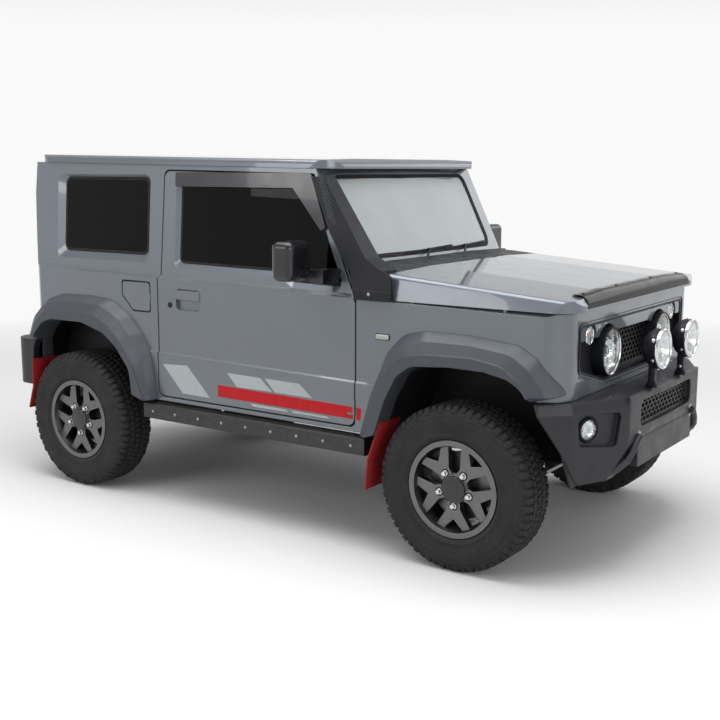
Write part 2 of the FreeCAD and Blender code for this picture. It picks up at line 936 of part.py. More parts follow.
# Side doors and side panels
def door_outline():
    front_x = cabin_front_x - shut_gap
    rear_x = front_x - door_length
    top_z = gutter_z - door_top_drop
    pillar_top_x = front_x - door_pillar_top
    foot_x = front_x - door_pillar_foot
    return [(rear_x, door_bottom_z), (front_x, door_bottom_z), (front_x, door_belt_front_z),
            (foot_x, door_pillar_foot_z), (pillar_top_x, top_z - pillar_top_x * rake_share),
            (rear_x, top_z - rear_x * rake_share)]


def door_form(gap):
    """Bevelled space of a right-hand door, wider towards the outside."""
    radius = door_corner_radius
    radii = [radius, radius, radius, radius, radius, radius]
    wires = []
    outer = body_half_width + overrun / 8
    inner = body_half_width - overrun / 2
    for y in (outer, inner):
        grow = gap + (y - body_half_width) * door_bevel_share
        wires.append(rounded_wire(inset(door_outline(), -grow), radii, side_plane(-y)))
    return Part.makeLoft(wires, True, True)


def door_window():
    front_x = cabin_front_x - shut_gap
    rear_x = front_x - door_length + door_glass_rear
    foot_x = front_x - door_glass_front
    top_z = door_glass_top_z
    rise_share = (door_pillar_top - door_pillar_foot) / (gutter_z - door_pillar_foot_z)
    top_x = foot_x - (top_z - door_glass_dip_z) * rise_share * 1.04
    dip_x = rear_x + (foot_x - rear_x) * 0.64
    dip_end_x = rear_x + (foot_x - rear_x) * 0.70
    return [(rear_x, door_glass_bottom_z), (dip_x, door_glass_bottom_z - shut_gap),
            (dip_end_x, door_glass_dip_z + shut_gap), (foot_x, door_glass_dip_z),
            (top_x, top_z), (rear_x, top_z)]


def quarter_window():
    rear_x = tail_x + quarter_rear
    front_x = cabin_front_x - door_length - shut_gap * 2 - quarter_front
    return [(rear_x, quarter_bottom_z), (front_x, quarter_bottom_z), (front_x, quarter_top_z),
            (rear_x, quarter_top_z)]


def flap_outline():
    """Flap with its lower rear corner cut off along the wheel arch."""
    rear_x = rear_axle_x + flap_reach
    front_x = rear_x + flap_length
    corner = flap_length * flap_corner_share
    return [(rear_x + corner, flap_low_z), (front_x, flap_low_z), (front_x, flap_high_z),
            (rear_x, flap_high_z), (rear_x, flap_low_z + corner)]


def upper_plane(depth):
    """Plane of the right-hand side above the belt, moved in by a depth."""
    ledge_z = belt_z + belt_ledge_rise
    tuck_share = (belt_half_width - gutter_half_width) / (gutter_z - ledge_z)
    return lambda u, v: vec(u, depth + (v + u * rake_share - ledge_z) * tuck_share - belt_half_width, v)


def window_bevel(outline, bevels):
    """Sloping reveal round a window, given by its widths to the rear, below, above and in front."""
    rear, low, high, front = bevels
    grown = []
    centre_x = sum(point[0] for point in outline) / len(outline)
    centre_z = sum(point[1] for point in outline) / len(outline)
    for x, z in outline:
        grown.append((x + front if x > centre_x else x - rear, z + high if z > centre_z else z - low))
    radius = quarter_radius
    outer = rounded_wire(grown, radius, upper_plane(-hairline))
    inner = rounded_wire(inset(outline, -hairline), radius, upper_plane(glass_depth))
    return Part.makeLoft([outer, inner], True, True)


def cabin_shell():
    return cabin_solid(0).cut(cabin_solid(wall))


def tailgate_outline(gap):
    half = tailgate_half_width + gap
    return rectangle(-half, half, tailgate_bottom_z - gap, tailgate_top_z + gap)


def tail_block(depth):
    """Space of the tail wall between the two rear corners."""
    reach = tail_x - overrun
    lean = vec(depth + tail_lean, 0, 0)
    half = tailgate_half_width + frame_band
    return box(reach, tail_x + depth + lean.x, -half, half, 0, gutter_z + overrun)


def screen_slab():
    """Space of the windscreen frame, as deep as the wall, between its two pillars."""
    half = screen_half_base + frame_band / 2
    front = screen_prism(-hairline).cut(screen_prism(wall))
    zone = box(tail_x, nose_x, -half, half, screen_base_z - overrun, gutter_z + overrun)
    return front.common(zone)


def screen_outline():
    """Windscreen opening from the front."""
    return [(-screen_half_base, screen_bottom_z), (screen_half_base, screen_bottom_z),
            (screen_half_top, screen_top_z), (-screen_half_top, screen_top_z)]


def body_side():
    """Right-hand side panel with its door opening, quarter window and arch."""
    half = cabin_shell().common(below_gutter())
    right = box(tail_x - overrun, nose_x, -sill_half_width - overrun, 0, 0, gutter_z + overrun)
    side = half.common(right)
    arch = arch_prism(rear_arch(), -flare_half_width, -rear_liner_inner)
    window = side_prism(quarter_window(), quarter_radius, -flare_half_width, -belt_half_width / 2)
    rim = window_bevel(quarter_window(), window_bevels)
    front = box(cabin_front_x, nose_x, -sill_half_width - overrun, -body_half_width + wing_skin + seat_gap,
                0, wing_top_z)
    firewall = box(cabin_front_x + post_depth - wall - hairline, nose_x, -floor_half_width, 0, 0,
                   gutter_z)
    tools = [tail_block(wall), screen_slab(), door_form(shut_gap), arch, window, rim, front,
             firewall]
    side = cut(side, tools)
    return side


def body_side_right():
    pocket = side_prism(inset(flap_outline(), -shut_gap), flap_skin, -sill_half_width, -body_half_width
                        + wall * 0.7)
    return cut(body_side(), [pocket])


def rear_frame():
    """Tail wall round the tailgate, down to the top of the frame rails."""
    wall_part = cabin_shell().common(below_gutter()).common(tail_block(wall))
    opening = front_prism(tailgate_outline(shut_gap), tailgate_radius, tail_x - overrun,
                          tail_x + overrun)
    below = box(tail_x - overrun, tail_x + overrun, -sill_half_width, sill_half_width, 0,
                rear_floor_z)
    made = [cut(wall_part, [opening, below])]
    half = tailgate_hinge_half
    for z in tailgate_hinge_places():
        for low in (z - half * 2, z + half + seat_gap):
            made.append(tailgate_hinge(low, low + half - seat_gap, -tailgate_hinge_leaf))
    return merge(made)


def tailgate_hinge_places():
    return [tailgate_hinge_z - tailgate_hinge_half_gap, tailgate_hinge_z + tailgate_hinge_half_gap]


def tailgate_hinge(low_z, high_z, leaf):
    """Length of hinge barrel with a leaf to one side, behind the tail's face."""
    radius = tailgate_hinge_radius
    x = tail_x - radius - shut_gap
    y = -tailgate_half_width - shut_gap / 2
    barrel = rod(vec(x, y, low_z), vec(x, y, high_z), radius)
    neck = box(x, tail_x + shut_gap, min(y, y + leaf), max(y, y + leaf), low_z, high_z)
    neck = neck.cut(box(x - radius, x + radius * 0.6, min(y, y + leaf), max(y, y + leaf), low_z, high_z))
    arm = box(x, tail_x, min(y, y + leaf / 6), max(y, y + leaf / 6), low_z, high_z)
    return merge([barrel, neck, arm])


def tailgate():
    form = cabin_shell().common(below_gutter())
    outline = front_prism(tailgate_outline(0), tailgate_radius, tail_x - overrun, tail_x + overrun / 2)
    glass = front_prism(rear_glass_outline(), rear_glass_radius, tail_x - overrun, tail_x + overrun)
    panel = form.common(outline).cut(glass)
    carrier = rod(vec(tail_x - hairline, spare_y, spare_z), vec(spare_seat_x(), spare_y, spare_z),
                  spare_carrier_radius)
    stub = rod(vec(tail_x, spare_y, spare_z), vec(spare_seat_x() - stub_length, spare_y, spare_z),
               stub_radius)
    made = [panel, carrier, stub]
    for z in tailgate_hinge_places():
        made.append(tailgate_hinge(z - tailgate_hinge_half, z + tailgate_hinge_half, tailgate_hinge_leaf))
    return merge(made)


def rear_glass_outline():
    return rectangle(-rear_glass_half_width, rear_glass_half_width, rear_glass_bottom_z,
                     rear_glass_top_z)


def pane(opening):
    """Glass that fills an opening of the cabin wall, set back from its outer face."""
    layer = cabin_solid(glass_depth).cut(cabin_solid(glass_depth + glass_thickness))
    return layer.common(opening)


def roof_section(depth):
    half = [(gutter_half_width + roof_overhang, gutter_z - (overrun if depth > 0 else 0)),
            (gutter_half_width + roof_overhang - roof_edge_radius / 3, roof_edge_z),
            (gutter_half_width * 0.62, roof_crown_z - (roof_crown_z - roof_edge_z) * 0.2)]
    points = mirror_outline(half)
    return inset(points, depth) if depth > 0 else points


def roof_form(depth):
    radius = roof_edge_radius if depth == 0 else roof_edge_radius / 2
    x_rear = tail_x + tail_lean - roof_overhang + depth
    top_front_x = screen_base_x - (gutter_z - screen_base_z) * screen_slope_share
    x_front = top_front_x + roof_front_lip - depth
    radii = [0, radius, 0, 0, radius, 0]
    form = raked_prism(roof_section(depth), radii, x_rear - overrun, x_front + overrun)
    half = gutter_half_width + roof_overhang - depth
    corner = roof_corner_radius - depth
    plan = plan_prism(rectangle(x_rear, x_front, -half, half), [corner, corner, corner, corner],
                      gutter_z - overrun, roof_crown_z + overrun)
    rim = roof_edge_radius
    rear_z = roof_crown_z - x_rear * rake_share
    front_z = roof_crown_z - x_front * rake_share
    outline = [(x_rear, gutter_z - overrun), (x_front, gutter_z - overrun), (x_front, front_z - rim * 0.7),
               (x_front - rim * 2, front_z + rim * 0.02), (x_rear + rim * 2, rear_z),
               (x_rear + rim * 0.3, rear_z - rim)]
    profile = side_prism(outline, [0, 0, rim, rim * 2, rim * 2, rim], -sill_half_width, sill_half_width)
    return form.common(plan).common(profile)


def roof_panel():
    return roof_form(0).cut(roof_form(roof_skin))


def windscreen_frame():
    form = cabin_solid(0).common(below_gutter()).common(screen_slab())
    above = box(tail_x, nose_x, -sill_half_width, sill_half_width, screen_base_z - frame_band,
                gutter_z + overrun)
    opening = front_prism(screen_outline(), screen_radius, cabin_front_x - overrun * 2, nose_x)
    doors = both_sides([door_form(shut_gap)])
    return cut(form.common(above), [opening] + doors)


def windscreen():
    opening = front_prism(screen_outline(), screen_radius, cabin_front_x - overrun * 2, nose_x)
    layer = screen_prism(glass_depth / 2).cut(screen_prism(glass_depth / 2 + glass_thickness))
    return layer.common(opening)


def quarter_glass():
    cutter = side_prism(quarter_window(), quarter_radius, -sill_half_width, -belt_half_width / 2)
    return both_sides([pane(cutter)])


def door_hinge():
    """Barrel and leaf of the lower hinge, on the door's front edge."""
    x = cabin_front_x - shut_gap / 2
    y = -sill_half_width - hinge_stand_off
    high_z = hinge_low_z + hinge_height
    radius = math.hypot(shut_gap / 2, hinge_stand_off) - seat_gap
    barrel = rod(vec(x, y, hinge_low_z), vec(x, y, high_z), radius)
    leaf = box(x - hinge_leaf, x, y, y + hinge_stand_off * 2, hinge_low_z, high_z)
    return merge([barrel, leaf])


def door():
    """Right-hand door panel with its window, handle pocket and hinge."""
    inner = raked_prism(body_section(wall), 0, tail_x - overrun, nose_x)
    form = cabin_solid(0).cut(inner)
    window = side_prism(door_window(), door_glass_radius, -sill_half_width - overrun,
                        -belt_half_width / 2)
    right = box(tail_x, cabin_front_x, -sill_half_width, 0, 0, gutter_z + overrun)
    rear_x = cabin_front_x - shut_gap - door_length + handle_setback
    outline = rectangle(rear_x, rear_x + handle_length, handle_z - handle_height / 2,
                        handle_z + handle_height / 2)
    pocket = side_prism(outline, cushion_radius / 2, -sill_half_width, -body_half_width + handle_recess)
    bevel = window_bevel(door_window(), door_window_bevels)
    panel = cut(form.common(right).common(door_form(0)), [window, pocket, bevel])
    grip = rectangle(rear_x, rear_x + handle_length, handle_z, handle_z + handle_height * 0.46)
    bar = side_prism(grip, handle_height * 0.14, -body_half_width - handle_recess / 4,
                     -body_half_width + handle_recess / 2)
    return merge([panel, bar, door_hinge()])


def door_glass():
    cutter = side_prism(door_window(), door_glass_radius, -sill_half_width, -belt_half_width / 2)
    return pane(cutter)


def door_mirror():
    """Mirror housing on its foot at the front corner of the door glass."""
    shell = box(mirror_rear_x, mirror_front_x, -mirror_outer, -mirror_inner, mirror_bottom_z,
                mirror_top_z)
    shell = shell.makeFillet(mirror_radius * 0.8, shell.Edges)
    foot = box(mirror_foot_x - mirror_foot_length, mirror_foot_x, -mirror_inner - mirror_radius,
               -belt_half_width + wall / 3, mirror_bottom_z - mirror_foot_height / 4,
               mirror_bottom_z + mirror_foot_height)
    arm = box(mirror_front_x - mirror_radius, mirror_foot_x, -mirror_inner - mirror_radius,
              -mirror_inner + mirror_radius / 2, mirror_bottom_z, mirror_bottom_z + mirror_foot_height)
    return merge([shell, foot, arm]).cut(cabin_solid(0))


def rain_shield():
    """Visor over the door window, down the windscreen pillar."""
    window = door_window()
    rear_x = window[0][0] - glass_depth
    top_x = window[4][0]
    low_x = top_x - shield_tip
    foot_x = top_x + (window[3][0] - top_x) * 0.48
    foot_z = door_glass_top_z - (door_glass_top_z - door_glass_dip_z) * 0.48
    outline = [(rear_x, shield_low_z), (low_x, shield_low_z), (foot_x - glass_depth, foot_z),
               (foot_x + glass_depth / 2, foot_z + glass_depth), (top_x + glass_depth, shield_high_z),
               (rear_x, shield_high_z)]
    outer = cabin_solid(-shield_proud).cut(cabin_solid(-shield_proud + shield_thickness))
    visor = outer.common(side_prism(outline, shield_thickness * 2, -sill_half_width, 0))
    band = [(rear_x, shield_high_z - glass_depth), (top_x + glass_depth, shield_high_z - glass_depth),
            (top_x + glass_depth, shield_high_z), (rear_x, shield_high_z)]
    root = cabin_solid(-shield_proud + shield_thickness).cut(cabin_solid(0))
    root = root.common(side_prism(band, 0, -sill_half_width, 0)).common(door_form(-shut_gap))
    return merge([visor, root])


def fuel_flap():
    """Flap with its hinge barrel on its front edge."""
    form = cabin_solid(0).cut(cabin_solid(flap_skin))
    outline = flap_outline()
    panel = form.common(side_prism(outline, flap_skin, -sill_half_width, 0))
    x = outline[1][0] + shut_gap / 2
    middle_z = (flap_low_z + flap_high_z) / 2
    low = vec(x, -body_half_width, middle_z - flap_skin)
    high = vec(x, -body_half_width, middle_z + flap_skin)
    radius = shut_gap / 2 - seat_gap
    leaf = box(x - shut_gap * 2, x, -body_half_width, -body_half_width + radius, low.z, high.z)
    return merge([panel, rod(low, high, radius), leaf])


def spare_seat_x():
    """Face of the spare wheel's hub, towards the tailgate."""
    return spare_rear_x + tyre_width / 2 - spoke_face + hub_depth


# Front end
def cowl():
    form = bonnet_solid(0, screen_base_x - overrun / 2, bonnet_rear_x - cowl_gap)
    form = form.cut(bonnet_solid(bonnet_skin, screen_base_x - overrun, bonnet_rear_x + overrun))
    front = box(bonnet_rear_x - cowl_gap - bonnet_skin, bonnet_rear_x, -rear_floor_half_width,
                rear_floor_half_width, wing_top_z, bonnet_rear_crease_z - bonnet_skin * 0.6)
    plate = front.common(bonnet_solid(hairline, screen_base_x, bonnet_rear_x - cowl_gap))
    corners = []
    for low in (-sill_half_width - overrun, belt_half_width - wing_skin):
        corners.append(box(tail_x, cabin_front_x, low, low + overrun + sill_half_width
                           - belt_half_width + wing_skin, 0, gutter_z))
    return cut(merge([form, plate]), [cabin_solid(0)] + corners)


def wing():
    """Right-hand front wing with its arch."""
    skin = nose_solid(0).cut(nose_solid(wing_skin))
    zone = box(cabin_front_x, nose_x, -sill_half_width, -front_panel_half_width, 0, wing_top_z)
    low = box(front_axle_x, nose_x + overrun, -sill_half_width, 0, 0, front_panel_bottom_z)
    arch = arch_prism(front_arch(), -flare_half_width, -front_liner_inner)
    panel = cut(skin.common(zone), [arch, low])
    buffers = []
    y = -body_half_width + wing_skin / 2
    for x in (bonnet_rear_x + nose_corner_radius, nose_x - nose_corner_radius * 2):
        buffers.append(rod(vec(x, y, wing_top_z - cowl_gap), vec(x, y, wing_top_z + cowl_gap - seat_gap),
                           wing_skin / 3))
    return merge([panel] + buffers)


def grille_outline(depth):
    half = [(grille_bottom_half_width, grille_bottom_z), (grille_half_width, grille_shoulder_z),
            (grille_half_width, grille_top_z)]
    return inset(mirror_outline(half), depth)


def brow(gap):
    """Body-coloured band along the top of the recess, scalloped over each lamp."""
    x_back = nose_x - brow_setback - brow_depth
    low_z = grille_top_z - brow_height
    outline = rectangle(-grille_half_width - hairline, grille_half_width + hairline, low_z,
                        grille_top_z + hairline)
    band = front_prism(inset(outline, -gap), 0, x_back - gap, nose_x - brow_setback + gap)
    rounds = []
    for side in (-1, 1):
        for y, z, radius in ((lamp_y, lamp_z, lamp_radius), (indicator_y, indicator_z, indicator_radius)):
            reach = radius + brow_gap - gap
            rounds.append(rod(vec(x_back - overrun, side * y, z), vec(nose_x, side * y, z), reach))
            rounds.append(box(x_back - overrun, nose_x, side * y - reach, side * y + reach, 0, z))
    middle = rectangle(-mesh_half_width + gap, mesh_half_width - gap, 0, mesh_top_z + gap)
    rounds.append(front_prism(middle, 0, x_back - overrun, nose_x))
    return cut(band, rounds)


def front_panel():
    skin = nose_solid(0).cut(nose_solid(wing_skin))
    zone = box(front_axle_x, nose_x, -front_panel_half_width, front_panel_half_width,
               front_panel_bottom_z, wing_top_z)
    opening = front_prism(grille_outline(0), grille_radius, front_axle_x, nose_x + overrun)
    return merge([skin.common(zone).cut(opening), brow(0)])


def lamp_places():
    return [(-lamp_y, lamp_z), (lamp_y, lamp_z)]


def grille():
    """Dark tray in the front panel, with holes for the lamps and a staggered mesh in its middle."""
    back_x = nose_x - grille_depth
    tray = front_prism(grille_outline(0), grille_radius, back_x, nose_x)
    tray = tray.cut(front_prism(grille_outline(grille_skin), grille_radius, back_x + grille_skin,
                                nose_x + overrun))
    holes = []
    for y, z in lamp_places():
        holes.append(rod(vec(back_x - overrun, y, z), vec(nose_x + overrun, y, z),
                         lamp_radius + seat_gap))
    tray = cut(tray, holes + [brow(seat_gap)])
    low = (-mesh_half_width, mesh_bottom_z)
    high = (mesh_half_width, mesh_top_z)
    return cut(tray, hole_pattern(low, high, mesh_columns, mesh_rows, mesh_web, back_x - overrun, nose_x))


def headlamps():
    """Round lamps with a bezel, and the round indicators above them."""
    made = []
    back_x = nose_x - grille_depth
    profile = [(0, -grille_depth / 2), (lamp_radius, -grille_depth / 2),
               (lamp_radius, grille_depth + lamp_proud - lamp_bezel),
               (lamp_radius - lamp_bezel, grille_depth + lamp_proud),
               (lamp_radius - lamp_bezel * 2, grille_depth + lamp_proud - lamp_bezel),
               (lamp_radius * 0.5, grille_depth + lamp_proud - lamp_bezel * 0.5),
               (0, grille_depth + lamp_proud - lamp_bezel * 0.3)]
    for y, z in lamp_places():
        made.append(turned(profile, 0, vec(back_x, y, z), vec(1, 0, 0)))
    for side in (-1, 1):
        start = vec(back_x + grille_skin, side * indicator_y, indicator_z)
        end = vec(nose_x - grille_skin / 2, side * indicator_y, indicator_z)
        made.append(rod(start, end, indicator_radius))
    return made


def bonnet():
    rear_x = bonnet_rear_x
    shell = bonnet_solid(0, rear_x, bonnet_front_x + overrun)
    hollow = bonnet_solid(bonnet_skin, rear_x - overrun, bonnet_front_x + overrun)
    nose_z = bonnet_front_crease_z
    outer = [(rear_x, wing_top_z + cowl_gap), (bonnet_front_x, wing_top_z + cowl_gap),
             (bonnet_front_x, nose_z - bonnet_nose_drop + bonnet_crown),
             (bonnet_front_x - bonnet_nose_drop, nose_z + bonnet_crown * 1.5),
             (bonnet_front_x - bonnet_nose_drop * 2, nose_z + overrun), (rear_x, nose_z + overrun)]
    inner = [(rear_x - overrun, 0), (bonnet_front_x - bonnet_skin, 0),
             (bonnet_front_x - bonnet_skin, nose_z - bonnet_nose_drop + bonnet_crown - bonnet_skin / 2),
             (bonnet_front_x - bonnet_nose_drop - bonnet_skin, nose_z + bonnet_crown * 1.5
              - bonnet_skin / 2),
             (bonnet_front_x - bonnet_nose_drop * 2, nose_z + overrun),
             (rear_x - overrun, nose_z + overrun)]
    half = sill_half_width
    corner = nose_corner_radius
    plan = plan_prism(rectangle(rear_x, bonnet_front_x, -half, half), [0, corner, corner, 0],
                      wing_top_z, bonnet_rear_crease_z + overrun)
    inner_plan = plan_prism(rectangle(rear_x - overrun, bonnet_front_x - bonnet_skin, -half
                                      + bonnet_skin, half - bonnet_skin),
                            [0, corner - bonnet_skin, corner - bonnet_skin, 0], 0,
                            bonnet_rear_crease_z + overrun)
    shell = shell.common(side_prism(outer, 0, -half, half)).common(plan)
    hollow = hollow.common(side_prism(inner, 0, -half, half)).common(inner_plan)
    return shell.cut(hollow)


# Flares, mud flaps and side steps
def flare(outer_shares, crest_shares, arch, axle_x, front):
    """Right-hand flare: a rounded band round the arch, seated on the body side."""
    outer = spread(outer_shares, axle_x, tyre_radius, arch_reach)
    crest = spread(crest_shares, axle_x, tyre_radius, arch_reach)
    shoulder = []
    for first, last in zip(outer, crest):
        shoulder.append((first[0] + (last[0] - first[0]) * flare_run_share,
                         first[1] + (last[1] - first[1]) * flare_run_share))
    reach = flare_crest_half_width - body_half_width
    shoulder_y = -body_half_width - reach * flare_shoulder_share
    bends = len(outer) - 2
    radii = [0] + [flare_corner_radius] * bends + [0]
    outer_wire = rounded_wire(outer, radii, side_plane(-body_half_width))
    shoulder_wire = rounded_wire(shoulder, radii, side_plane(shoulder_y))
    crest_wire = rounded_wire(crest, radii, side_plane(-flare_crest_half_width))
    made = [Part.makeLoft([outer_wire, shoulder_wire], True, True),
            Part.makeLoft([shoulder_wire, crest_wire], True, True),
            side_prism(inset(crest, hairline), radii, -flare_half_width, -flare_crest_half_width),
            side_prism(outer, radii, -body_half_width, -body_half_width + flare_root)]
    band = merge(made)
    space = arch_prism(arch, -flare_half_width - overrun, 0)
    solid = nose_solid(0) if front else cabin_solid(0)
    return cut(band, [space, solid])


def arch_flares():
    front = flare(front_flare_outer_shares, front_flare_crest_shares, front_arch(), front_axle_x,
                  True)
    rear = flare(rear_flare_outer_shares, rear_flare_crest_shares, rear_arch(), rear_axle_x, False)
    return both_sides([front, rear])


def thick_line(points, thickness, y_start, y_end):
    """Plate of one thickness that follows a bent line, seen from the side."""
    upper = []
    lower = []
    for index in range(len(points)):
        before = points[max(index - 1, 0)]
        after = points[min(index + 1, len(points) - 1)]
        run = (after[0] - before[0], after[1] - before[1])
        length = math.hypot(*run)
        normal = (-run[1] / length * thickness, run[0] / length * thickness)
        upper.append(points[index])
        lower.append((points[index][0] + normal[0], points[index][1] + normal[1]))
    return side_prism(upper + lower[::-1], 0, y_start, y_end)


def on_line(first, last, z):
    """Place on a straight line at one height."""
    along = (z - first[1]) / (last[1] - first[1])
    return (first[0] + (last[0] - first[0]) * along, z)


def mud_flaps():
    """Flaps that hang from the rear edge of each arch."""
    arch = front_arch()
    low = arch[0]
    high = on_line(arch[0], arch[1], low[1] + (arch[1][1] - low[1]) * 0.6)
    drop = (low[1] - front_flap_bottom_z) * 0.1
    front = thick_line([(low[0] - drop, front_flap_bottom_z), low, high], -flap_thickness,
                       -flap_outer, -flap_inner)
    arch = rear_arch()
    low = (arch[-1][0], rear_bumper_bottom_z - flap_thickness)
    foot = (low[0] - rear_flap_lean, rear_flap_bottom_z)
    rear = thick_line([foot, low, arch[-2], on_line(arch[-2], arch[-3], flap_top_z)],
                      -flap_thickness, -flap_outer, -flap_inner)
    return both_sides([front, rear])


def side_steps():
    """Beam under each sill with its brackets to the frame rail."""
    x_front = front_axle_x - step_front_setback
    x_rear = rear_axle_x + step_rear_setback
    outline = rectangle(-step_outer, -step_inner, step_bottom_z, step_top_z)
    beam = front_prism(outline, step_radius, x_rear, x_front)
    made = [beam]
    for share in (0.1, 0.5, 0.9):
        x = x_rear + (x_front - x_rear) * share
        made.append(box(x - bracket_half_length, x + bracket_half_length, -step_inner - step_radius,
                        -rail_outer, step_bottom_z + step_radius,
                        step_bottom_z + step_radius + bracket_height))
    return both_sides([merge(made)])


# Bumpers
def bumper_plan(depth):
    """Outline of the front bumper from above: flat front, chamfered corners, short ends."""
    front = bumper_front_x
    corner_x = front - bumper_chamfer_run
    end_x = corner_x - bumper_end_run
    half = [(bumper_half_width, front_axle_x + bumper_end_reach), (bumper_half_width, end_x),
            (bumper_chamfer_half_width, corner_x), (bumper_flat_half_width, front - bumper_bow),
            (0, front)]
    right = [(x, -y) for y, x in half]
    left = [(x, y) for y, x in reversed(half[:-1])]
    moved = inset(right + left, depth)
    if depth > 0:
        moved[0] = (moved[0][0] - overrun, moved[0][1])
        moved[-1] = (moved[-1][0] - overrun, moved[-1][1])
    return moved


def slanted_place(side_sign, depth):
    """Plane of the bumper's slanted corner: along it from the fog lamp's middle, and upwards."""
    centre, axis = fog_place(side_sign)
    along = vec(-axis.y * side_sign, axis.x * side_sign, 0)
    base = centre - axis * depth
    return lambda u, v: base + along * u + vec(0, 0, v)


def fog_pocket(side_sign):
    """Four-sided pocket round the fog lamp, lower towards its rear."""
    half = fog_pocket_half_height
    rise = fog_pocket_rise
    points = [(-fog_pocket_front + rise * 2, -half - rise), (fog_pocket_rear - rise, -half + rise),
              (fog_pocket_rear, half + rise / 2), (-fog_pocket_front, half - rise)]
    place = slanted_place(side_sign, fog_pocket_depth)
    sweep = fog_place(side_sign)[1] * (fog_pocket_depth * 3)
    return prism(points, fog_pocket_radius, place, sweep)


def bumper_ledge():
    """Material cut from above the ledge of both corner sections."""
    corner = bumper_corner_radius
    radii = [0, corner, corner, corner, 0, corner, corner, corner, 0]
    low_z = bumper_top_z - ledge_drop
    low = rounded_wire(bumper_plan(0), radii, plan_plane(low_z))
    high = rounded_wire(bumper_plan(ledge_depth), radii, plan_plane(bumper_top_z + ledge_drop))
    form = Part.makeLoft([low, high], True, True)
    front_x = bumper_front_x + overrun
    rear_x = front_axle_x
    start = ledge_start
    slant = ledge_slant
    points = [(bumper_front_x, -start), (front_x, -start), (front_x, -start - overrun * 2),
              (rear_x, -start - overrun * 2), (rear_x, -start + slant),
              (bumper_front_x - bumper_chamfer_run, -start + slant)]
    zone = plan_prism(points, 0, low_z, bumper_top_z + hairline)
    return both_sides([zone.cut(form)])


def front_bumper():
    """Shell with a mesh mouth, fog lamp pockets, a plate panel and brackets to the frame."""
    corner = bumper_corner_radius
    radii = [0, corner, corner, corner, 0, corner, corner, corner, 0]
    outer = plan_prism(bumper_plan(0), radii, bumper_bottom_z, bumper_top_z)
    inner = plan_prism(bumper_plan(bumper_wall), radii, bumper_bottom_z - overrun,
                       bumper_top_z - bumper_wall / 2)
    arch = arch_prism(grown_arch(front_arch(), liner_thickness), -flare_half_width,
                      flare_half_width)
    back_x = front_axle_x + bumper_end_reach
    side = [(back_x, bumper_bottom_z), (bumper_front_x - bumper_chin_run, bumper_bottom_z),
            (bumper_front_x - bumper_wall / 4, plate_top_z), (bumper_front_x, bumper_mouth_bottom_z),
            (bumper_front_x, bumper_mouth_top_z + bumper_wall / 2),
            (bumper_front_x - bumper_wall / 2, bumper_top_z), (back_x, bumper_top_z)]
    profile = side_prism(side, 0, -flare_half_width, flare_half_width)
    shell = outer.common(profile).cut(inner)
    mouth = front_prism(rectangle(-bumper_mouth_half_width, bumper_mouth_half_width,
                                  bumper_mouth_bottom_z, bumper_mouth_top_z), fog_depth,
                        back_x, bumper_front_x + overrun)
    pockets = []
    for side_sign in (-1, 1):
        centre, axis = fog_place(side_sign)
        pockets.append(rod(centre - axis * (overrun / 4), centre + axis * (overrun / 4), fog_radius))
        pockets.append(fog_pocket(side_sign))
    shell = cut(shell, [mouth, arch, nose_solid(0)] + pockets + bumper_ledge())
    mesh_x = bumper_front_x - bumper_wall
    edge = mesh_web * 2
    sheet = front_prism(rectangle(-bumper_mouth_half_width - edge, bumper_mouth_half_width + edge,
                                  bumper_mouth_bottom_z - edge, bumper_mouth_top_z + edge), fog_depth,
                        mesh_x, mesh_x + mesh_web)
    low = (-bumper_mouth_half_width, bumper_mouth_bottom_z)
    high = (bumper_mouth_half_width, bumper_mouth_top_z)
    sheet = cut(sheet, hole_pattern(low, high, mouth_columns, mouth_rows, mesh_web, mesh_x - overrun,
                                    bumper_front_x))
    plate = front_prism(rectangle(-plate_half_width, plate_half_width, plate_bottom_z, plate_top_z),
                        plate_radius, bumper_front_x - bumper_chin_run,
                        bumper_front_x - plate_setback)
    brackets = []
    for side_sign in (-1, 1):
        low_y = side_sign * rail_inner if side_sign > 0 else -rail_outer
        brackets.append(box(front_axle_x + rail_front_reach, bumper_front_x - bumper_wall, low_y,
                            low_y + rail_width, rail_horn_z, rail_horn_z + rail_height * 0.8))
    return [merge([shell, sheet, plate] + brackets)]


def fog_place(side_sign):
    """Middle of a fog lamp's opening in the bumper's chamfer, and the way it faces."""
    run = bumper_chamfer_run - bumper_bow
    across = bumper_chamfer_half_width - bumper_flat_half_width
    along_share = (bumper_chamfer_half_width - fog_y) / across
    x = bumper_front_x - bumper_chamfer_run + run * along_share
    axis = vec(across, side_sign * run, 0)
    return vec(x, side_sign * fog_y, fog_z), axis.normalize()


def fog_lamps():
    """Round fog lamps in the bumper's corner pockets."""
    made = []
    for side_sign in (-1, 1):
        centre, axis = fog_place(side_sign)
        start = centre - axis * (bumper_wall + fog_pocket_depth / 4)
        profile = [(0, 0), (fog_radius - seat_gap, 0), (fog_radius - seat_gap, fog_depth * 0.8),
                   (fog_radius * 0.8, fog_depth), (fog_radius * 0.74, fog_depth * 0.86),
                   (0, fog_depth)]
        made.append(turned(profile, 0, start, axis))
    return made


